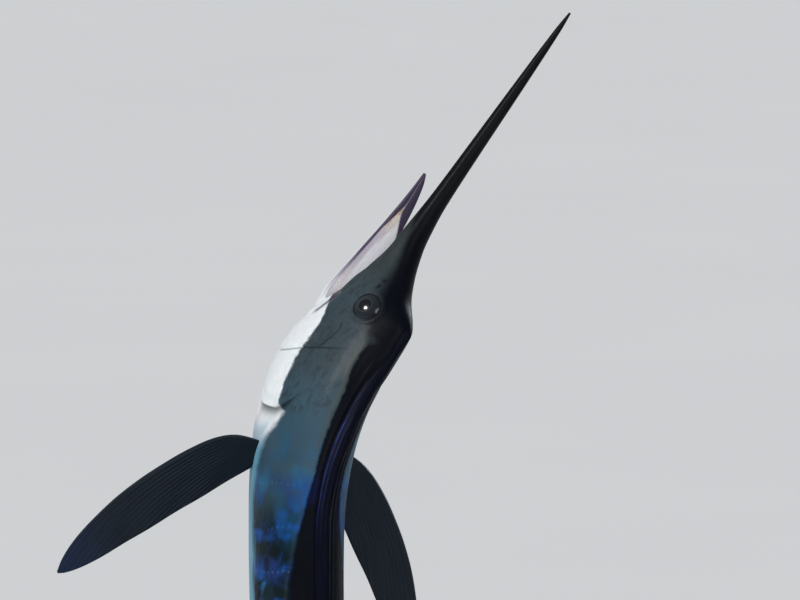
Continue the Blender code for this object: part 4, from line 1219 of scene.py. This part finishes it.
    def relief(self):
        """Long narrow scales on the body, pores on the head, grain on the bill."""
        place_at = self.combine(self.s * 0.42, self.arc)
        scales = self.add("ShaderNodeTexVoronoi", {"Vector": place_at, "Scale": 480.0, "Randomness": 0.85},
                          "Distance", feature="DISTANCE_TO_EDGE")
        grain = self.noise(self.fish, (90.0, 620.0, 620.0), 2.0) * self.bill
        on_body = self.s.rise(0.66, 0.76) * 0.9
        return scales.rise(0.0, 0.22) * on_body + self.speck * 0.55 + grain * 1.2


def skin_material():
    """Wet skin: black back, grey cheek, white throat, blue-grey flank with pale bars, silver belly."""
    sh = SkinShader()
    colour = sh.mix(sh.head, sh.bars(sh.flank()), sh.cheek())
    colour = sh.jaw(sh.horn(sh.back(sh.belly(colour))))
    # Painted shade: the skin's creases, pits, eye socket and the band behind the gill cover are darkened
    # towards near-black.
    colour = sh.mix(sh.named("crease_shade") * 0.85, colour, (0.006, 0.007, 0.01))
    return sh.finish(colour, sh.fine * 0.18 + 0.36, sh.bump(sh.relief(), 0.28, 0.0004), IOR=1.4,
                     Specular_IOR_Level=0.07, Coat_Weight=0.01, Coat_Roughness=0.14)


def eye_material():
    """Dark pupil, a thin pale ring and a steel-blue iris under a clear gloss."""
    sh = Shader("fish_eye")
    x, y, _ = sh.parts(sh.named("eye", "Vector"))
    radius = sh.math("SQRT", x ** 2.0 + y ** 2.0)
    angle = sh.math("ARCTAN2", y, x)
    threads = sh.noise(sh.combine(angle * 7.0, radius * 2.0), 2.0, 3.0, 0.7)
    iris = sh.mix(threads, (0.003, 0.006, 0.01), (0.014, 0.026, 0.034))
    iris = sh.mix(y.rise(-0.2, 0.9, 0.0, 0.75), iris, (0.003, 0.004, 0.009))
    ring = radius.rise(0.385, 0.405) * radius.fall(0.41, 0.47)
    colour = sh.mix(ring * 0.5, iris, (0.05, 0.048, 0.036))
    colour = sh.mix(radius.fall(0.375, 0.395), colour, (0.0015, 0.002, 0.004))
    colour = sh.mix(radius.rise(0.6, 0.76), colour, (0.003, 0.004, 0.008))
    return sh.finish(colour, 0.16, IOR=1.38, Coat_Weight=0.3, Coat_Roughness=0.1)


def fin_material(name, low, high, tip, rays, paler=0.0):
    """Thin dark membrane between raised rays, with painted shade in the troughs between them."""
    sh = Shader(name)
    u, v, phase = sh.parts(sh.named("fin", "Vector"))
    streak = sh.noise(sh.combine(phase * 30.0, v * 6.0), 1.0, 4.0, 0.65)
    spots = sh.noise(sh.combine(u * 8.0, v * 24.0), 3.0, 3.0, 0.6)
    colour = sh.mix(streak, low, high)
    colour = sh.mix(v.rise(0.7, 1.0, 0.0, 0.8), colour, tip)
    colour = sh.mix(spots.rise(0.6, 0.75, 0.0, 0.35), colour, high)
    ridge = sh.math("COSINE", phase * (2.0 * math.pi * rays))
    # Painted shade in the troughs between the raised rays.
    colour = sh.mix(ridge.fall(-1.0, -0.2) * 0.35, colour, low)
    if paler:
        colour = sh.mix(v.rise(0.3, 0.0, 0.0, paler), colour, (0.45, 0.5, 0.54))
    cross = sh.noise(sh.combine(u * 10.0, v * 150.0), 1.0, 2.0, 0.6)
    relief = sh.bump(ridge * 0.25 + cross * 0.8, 0.3, 0.0005)
    return sh.finish(colour, streak * 0.2 + 0.36, relief, IOR=1.4, Specular_IOR_Level=0.16)


def sail_material():
    """Folded membrane: blue-black, with painted violet-blue highlights on the crests of the rays and two
    broken lines of painted sheen.
    """
    sh = Shader("fish_sail")
    share, along, phase = sh.parts(sh.named("fin", "Vector"))
    streak = sh.noise(sh.combine(phase * 5.0, along * 16.0), 1.0, 4.0, 0.65)
    colour = sh.mix(streak, (0.0006, 0.001, 0.0028), (0.0024, 0.0034, 0.012))
    # Painted highlight on the crests of the folds.
    crest_highlight = sh.named("pleat").rise(0.7, 0.98) * streak.rise(0.5, 0.68) * along.rise(0.12, 0.22)
    colour = sh.mix(crest_highlight * 0.55, colour, (0.022, 0.028, 0.12))
    broken = sh.noise(sh.combine(share * 3.0, along * 26.0), 1.0, 3.0, 0.6)
    # Two broken lines of painted sheen along the left side of the folded sail.
    for at, width, strength in ((0.93, 0.032, 0.75), (0.79, 0.024, 0.55)):
        line = abs(share - at).rise(0.1 * width, width, strength, 0.0) * along.rise(0.09, 0.17)
        line = line * along.fall(0.2, 0.34) * broken.rise(0.36, 0.6, 0.25, 1.0)
        colour = sh.mix(line, colour, (0.028, 0.046, 0.2))
    relief = sh.bump(streak, 0.3, 0.0005)
    return sh.finish(colour, streak * 0.2 + 0.4, relief, IOR=1.4, Specular_IOR_Level=0.07)


def wood_material():
    """Satin lacquered dark hardwood, its grain along X."""
    sh = Shader("dark_hardwood")
    x, y, z = sh.parts(sh.here())
    wide = sh.combine(x * 1.3, y * 14.0 + z * 17.0, z * 8.0)
    bend = sh.combine(0.0, sh.noise(wide, 1.1) * 2.4)
    inputs = {"Vector": sh.vector("ADD", wide, bend), "Scale": 0.9, "Distortion": 5.0, "Detail": 3.0}
    rings = sh.add("ShaderNodeTexWave", inputs, "Fac", bands_direction="Y")
    fibre = sh.noise(sh.here(), (12.0, 480.0, 480.0), 3.0, 0.6)
    colour = sh.mix(rings, (0.075, 0.036, 0.018), (0.19, 0.1, 0.052))
    colour = sh.mix(fibre.rise(0.45, 0.75) * 0.55, colour, (0.04, 0.018, 0.009))
    return sh.finish(colour, fibre * 0.18 + 0.26, sh.bump(fibre, 0.2, 0.0004), IOR=1.48,
                     Coat_Weight=0.35, Coat_Roughness=0.22)


def steel_material():
    """Brushed steel, its fine scratches running round the rod."""
    sh = Shader("brushed_steel")
    scratch = sh.noise(sh.here(), (60.0, 60.0, 2400.0), 3.0, 0.7)
    cloud = sh.noise(sh.here(), 9.0)
    colour = sh.mix(cloud, (0.5, 0.505, 0.51), (0.62, 0.625, 0.63))
    rough = scratch * 0.16 + (cloud * 0.08 + 0.22)
    return sh.finish(colour, rough, sh.bump(scratch, 0.1, 0.0002), Metallic=1.0)


def floor_material():
    """Pale matt studio floor."""
    sh = Shader("studio_floor")
    cloud = sh.noise(sh.here(), 0.6)
    return sh.finish(sh.mix(cloud, (0.8, 0.81, 0.82), (0.83, 0.84, 0.85)), cloud * 0.1 + 0.75)


def dress(piece, material, slot, *nodes):
    """Give a piece its material, hang it under the root, and hide the solids that it stands for. The slot is
    not used.
    """
    piece.data.materials.clear()
    piece.data.materials.append(material)
    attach(piece, "root")
    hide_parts(*nodes)


# Fins of the middle plane: start, length, height, side and sweep, then rays, thickness, relief and grid.
SECOND_DORSAL = ((1.845, 0.085, 0.052, 1, 0.06), (7, 0.0022, 0.0008, 60, 70))
SECOND_ANAL = ((1.86, 0.075, 0.048, -1, 0.055), (7, 0.0022, 0.0008, 60, 70))
FIRST_ANAL = ((1.53, 0.125, 0.165, -1, 0.15), (13, 0.0032, 0.0009, 110, 120))


def build_fish():
    """Skin, eyes and fins."""
    skin = merge_skin(make_body_skin(), make_jaw())
    dress(skin, skin_material(), "skin", *FLESH_NODES)
    eye = eye_material()
    for name, side in (("eye_left", 1.0), ("eye_right", -1.0)):
        dress(make_eye("look_" + name, side), eye, "eye", name)
    dress(make_sail(), sail_material(), "sail", "first_dorsal_front", "first_dorsal_rear")
    dark = fin_material("fin_pectoral", (0.004, 0.0065, 0.0105), (0.018, 0.026, 0.038), (0.012, 0.022, 0.06),
                        PECTORAL_RAYS)
    for name, side, sweep, ahead in (("pectoral_left", 1.0, LEFT_SWEEP, 0.0),
                                     ("pectoral_right", -1.0, RIGHT_SWEEP, RIGHT_PECTORAL_AHEAD)):
        dress(pectoral("look_" + name, side, sweep, PECTORAL_S - ahead), dark, "fin", name)
    slim = fin_material("fin_pelvic", (0.004, 0.0045, 0.007), (0.012, 0.013, 0.018), (0.006, 0.007, 0.012),
                        PELVIC_RAYS)
    for name, side in (("pelvic_left", 1.0), ("pelvic_right", -1.0)):
        dress(pelvic("look_" + name, side), slim, "fin", name)
    small = fin_material("fin_small", (0.006, 0.008, 0.015), (0.02, 0.026, 0.042), (0.01, 0.014, 0.03), 7)
    pale = fin_material("fin_anal", (0.012, 0.017, 0.03), (0.045, 0.06, 0.085), (0.016, 0.024, 0.05), 13, 0.5)
    for name, (edges, make), material in (("second_dorsal", SECOND_DORSAL, small),
                                          ("second_anal", SECOND_ANAL, small),
                                          ("first_anal", FIRST_ANAL, pale)):
        dress(midline_fin("look_" + name, falcate(*edges), *make), material, "fin", name)
    tail = fin_material("fin_tail", (0.005, 0.0065, 0.011), (0.018, 0.024, 0.036), (0.008, 0.012, 0.03), 12)
    for name, side in (("caudal_upper", 1.0), ("caudal_lower", -1.0)):
        dress(caudal_lobe("look_" + name, side), tail, "tail_fin", name)


def rounded_profile(length, radius, rim):
    """Distance along and from the middle line for a turned piece with rounded ends."""
    bends = np.linspace(0.0, 0.5 * math.pi, 6)
    start = [(rim * (1.0 - math.sin(a)), radius - rim * (1.0 - math.cos(a))) for a in bends[::-1]]
    start = [(0.0, radius - 1.3 * rim)] + start + [(1.3 * rim, radius)]
    return start + [(length - at, wide) for at, wide in reversed(start)]


def make_rod(name, start, end):
    """Smooth round rod between two points."""
    start, end = np.array(start, float), np.array(end, float)
    along = unit(end - start)
    side = unit(np.cross(along, (1.0, 0.0, 0.0)))
    turn = np.linspace(0.0, 2.0 * math.pi, ROD_SIDES, endpoint=False)
    ring = np.cos(turn)[:, None] * side + np.sin(turn)[:, None] * np.cross(along, side)
    profile = rounded_profile(np.linalg.norm(end - start), ROD_RADIUS, ROD_RIM)
    return outward(tube_mesh(name, np.array([start + along * at + ring * wide for at, wide in profile]), {}))


def make_base():
    """Slab with rounded corners and edges, lying on the floor."""
    corners = []
    for k, (sx, sy) in enumerate(((1, 1), (-1, 1), (-1, -1), (1, -1))):
        middle = (sx * (BASE_LENGTH / 2 - BASE_CORNER), sy * (BASE_WIDTH / 2 - BASE_CORNER))
        for a in np.linspace(0.5 * math.pi * k, 0.5 * math.pi * (k + 1), CORNER_STEPS):
            corners.append((*middle, math.cos(a), math.sin(a)))
    x, y, cos, sin = np.array(corners).T
    rings = [np.stack([x + cos * wide, y + sin * wide, np.full_like(x, height)], axis=-1)
             for height, wide in rounded_profile(BASE_THICK, BASE_CORNER, BASE_RIM)]
    return outward(tube_mesh("look_stand_base", np.array(rings), {}))


def build_stand():
    """Wooden base and the two steel rods."""
    steel = steel_material()
    dress(make_base(), wood_material(), "base", "stand_base")
    fork = place(FORK_S, 0.0, 0.0)
    rod = make_rod("look_stand_rod_tail", (fork[0], fork[1], BASE_THICK), fork + (0.0, 0.0, TAIL_ROD_GRIP))
    dress(rod, steel, "rod", "stand_rod_tail")
    touch = place(BELLY_ROD_S, -BELLY_ROD_SIDE, belly(BELLY_ROD_S) + 0.03)
    foot = np.array((*BELLY_ROD_FOOT, 0.5 * BASE_THICK))
    share = (BASE_THICK - foot[2]) / (touch[2] - foot[2])
    rod = make_rod("look_stand_rod_belly", foot + (touch - foot) * share, touch)
    dress(rod, steel, "rod", "stand_rod_belly")


def build_floor():
    """Pale floor under the model and far behind it."""
    shape = bmesh.new()
    bmesh.ops.create_grid(shape, x_segments=8, y_segments=8, size=FLOOR_SIZE)
    mesh = bpy.data.meshes.new("floor")
    shape.to_mesh(mesh)
    shape.free()
    floor = add_object("floor", mesh)
    floor.location = (0.0, FLOOR_SIZE / 2, 0.0)
    mesh.materials.append(floor_material())


def build_lights():
    """A plain world, a soft sun and two round lamps."""
    world = bpy.data.worlds.new("studio")
    world.use_nodes = True
    sky = world.node_tree.nodes["Background"].inputs
    sky["Color"].default_value = (*SKY_COLOUR, 1.0)
    sky["Strength"].default_value = SKY_STRENGTH
    bpy.context.scene.world = world
    bpy.context.scene.view_settings.view_transform = "Standard"
    for name, kind, power, colour, settings, spot, target in LIGHTS:
        light = bpy.data.lights.new(name, kind)
        light.energy = power
        light.color = colour
        for key, value in settings.items():
            setattr(light, key, value)
        holder = add_object(name, light)
        holder.location = spot
        holder.rotation_euler = (Vector(target) - Vector(spot)).to_track_quat("-Z", "Y").to_euler()


def build_camera():
    """Camera that sees the bill's tip at its place in the photo's frame."""
    tip = Vector(place(0.0, 0.0, 0.0))
    sight = Vector((0.0, math.cos(CAMERA_ELEVATION), -math.sin(CAMERA_ELEVATION)))
    up = Vector((0.0, math.sin(CAMERA_ELEVATION), math.cos(CAMERA_ELEVATION)))
    across = (FRAME_WIDTH / 2 - BILL_TIP_PIXEL[0]) * METRES_PER_PIXEL
    down = (FRAME_HEIGHT / 2 - BILL_TIP_PIXEL[1]) * METRES_PER_PIXEL
    centre = tip + Vector((across, 0.0, 0.0)) - up * down
    lens = bpy.data.cameras.new("camera")
    lens.sensor_width = 36.0
    lens.lens = lens.sensor_width * CAMERA_DISTANCE / (FRAME_WIDTH * METRES_PER_PIXEL)
    lens.clip_end = 200.0
    camera = add_object("camera", lens)
    camera.location = centre - sight * CAMERA_DISTANCE
    camera.rotation_euler = sight.to_track_quat("-Z", "Y").to_euler()
    bpy.context.scene.camera = camera


build_fish()
build_stand()
build_floor()
build_lights()
build_camera()
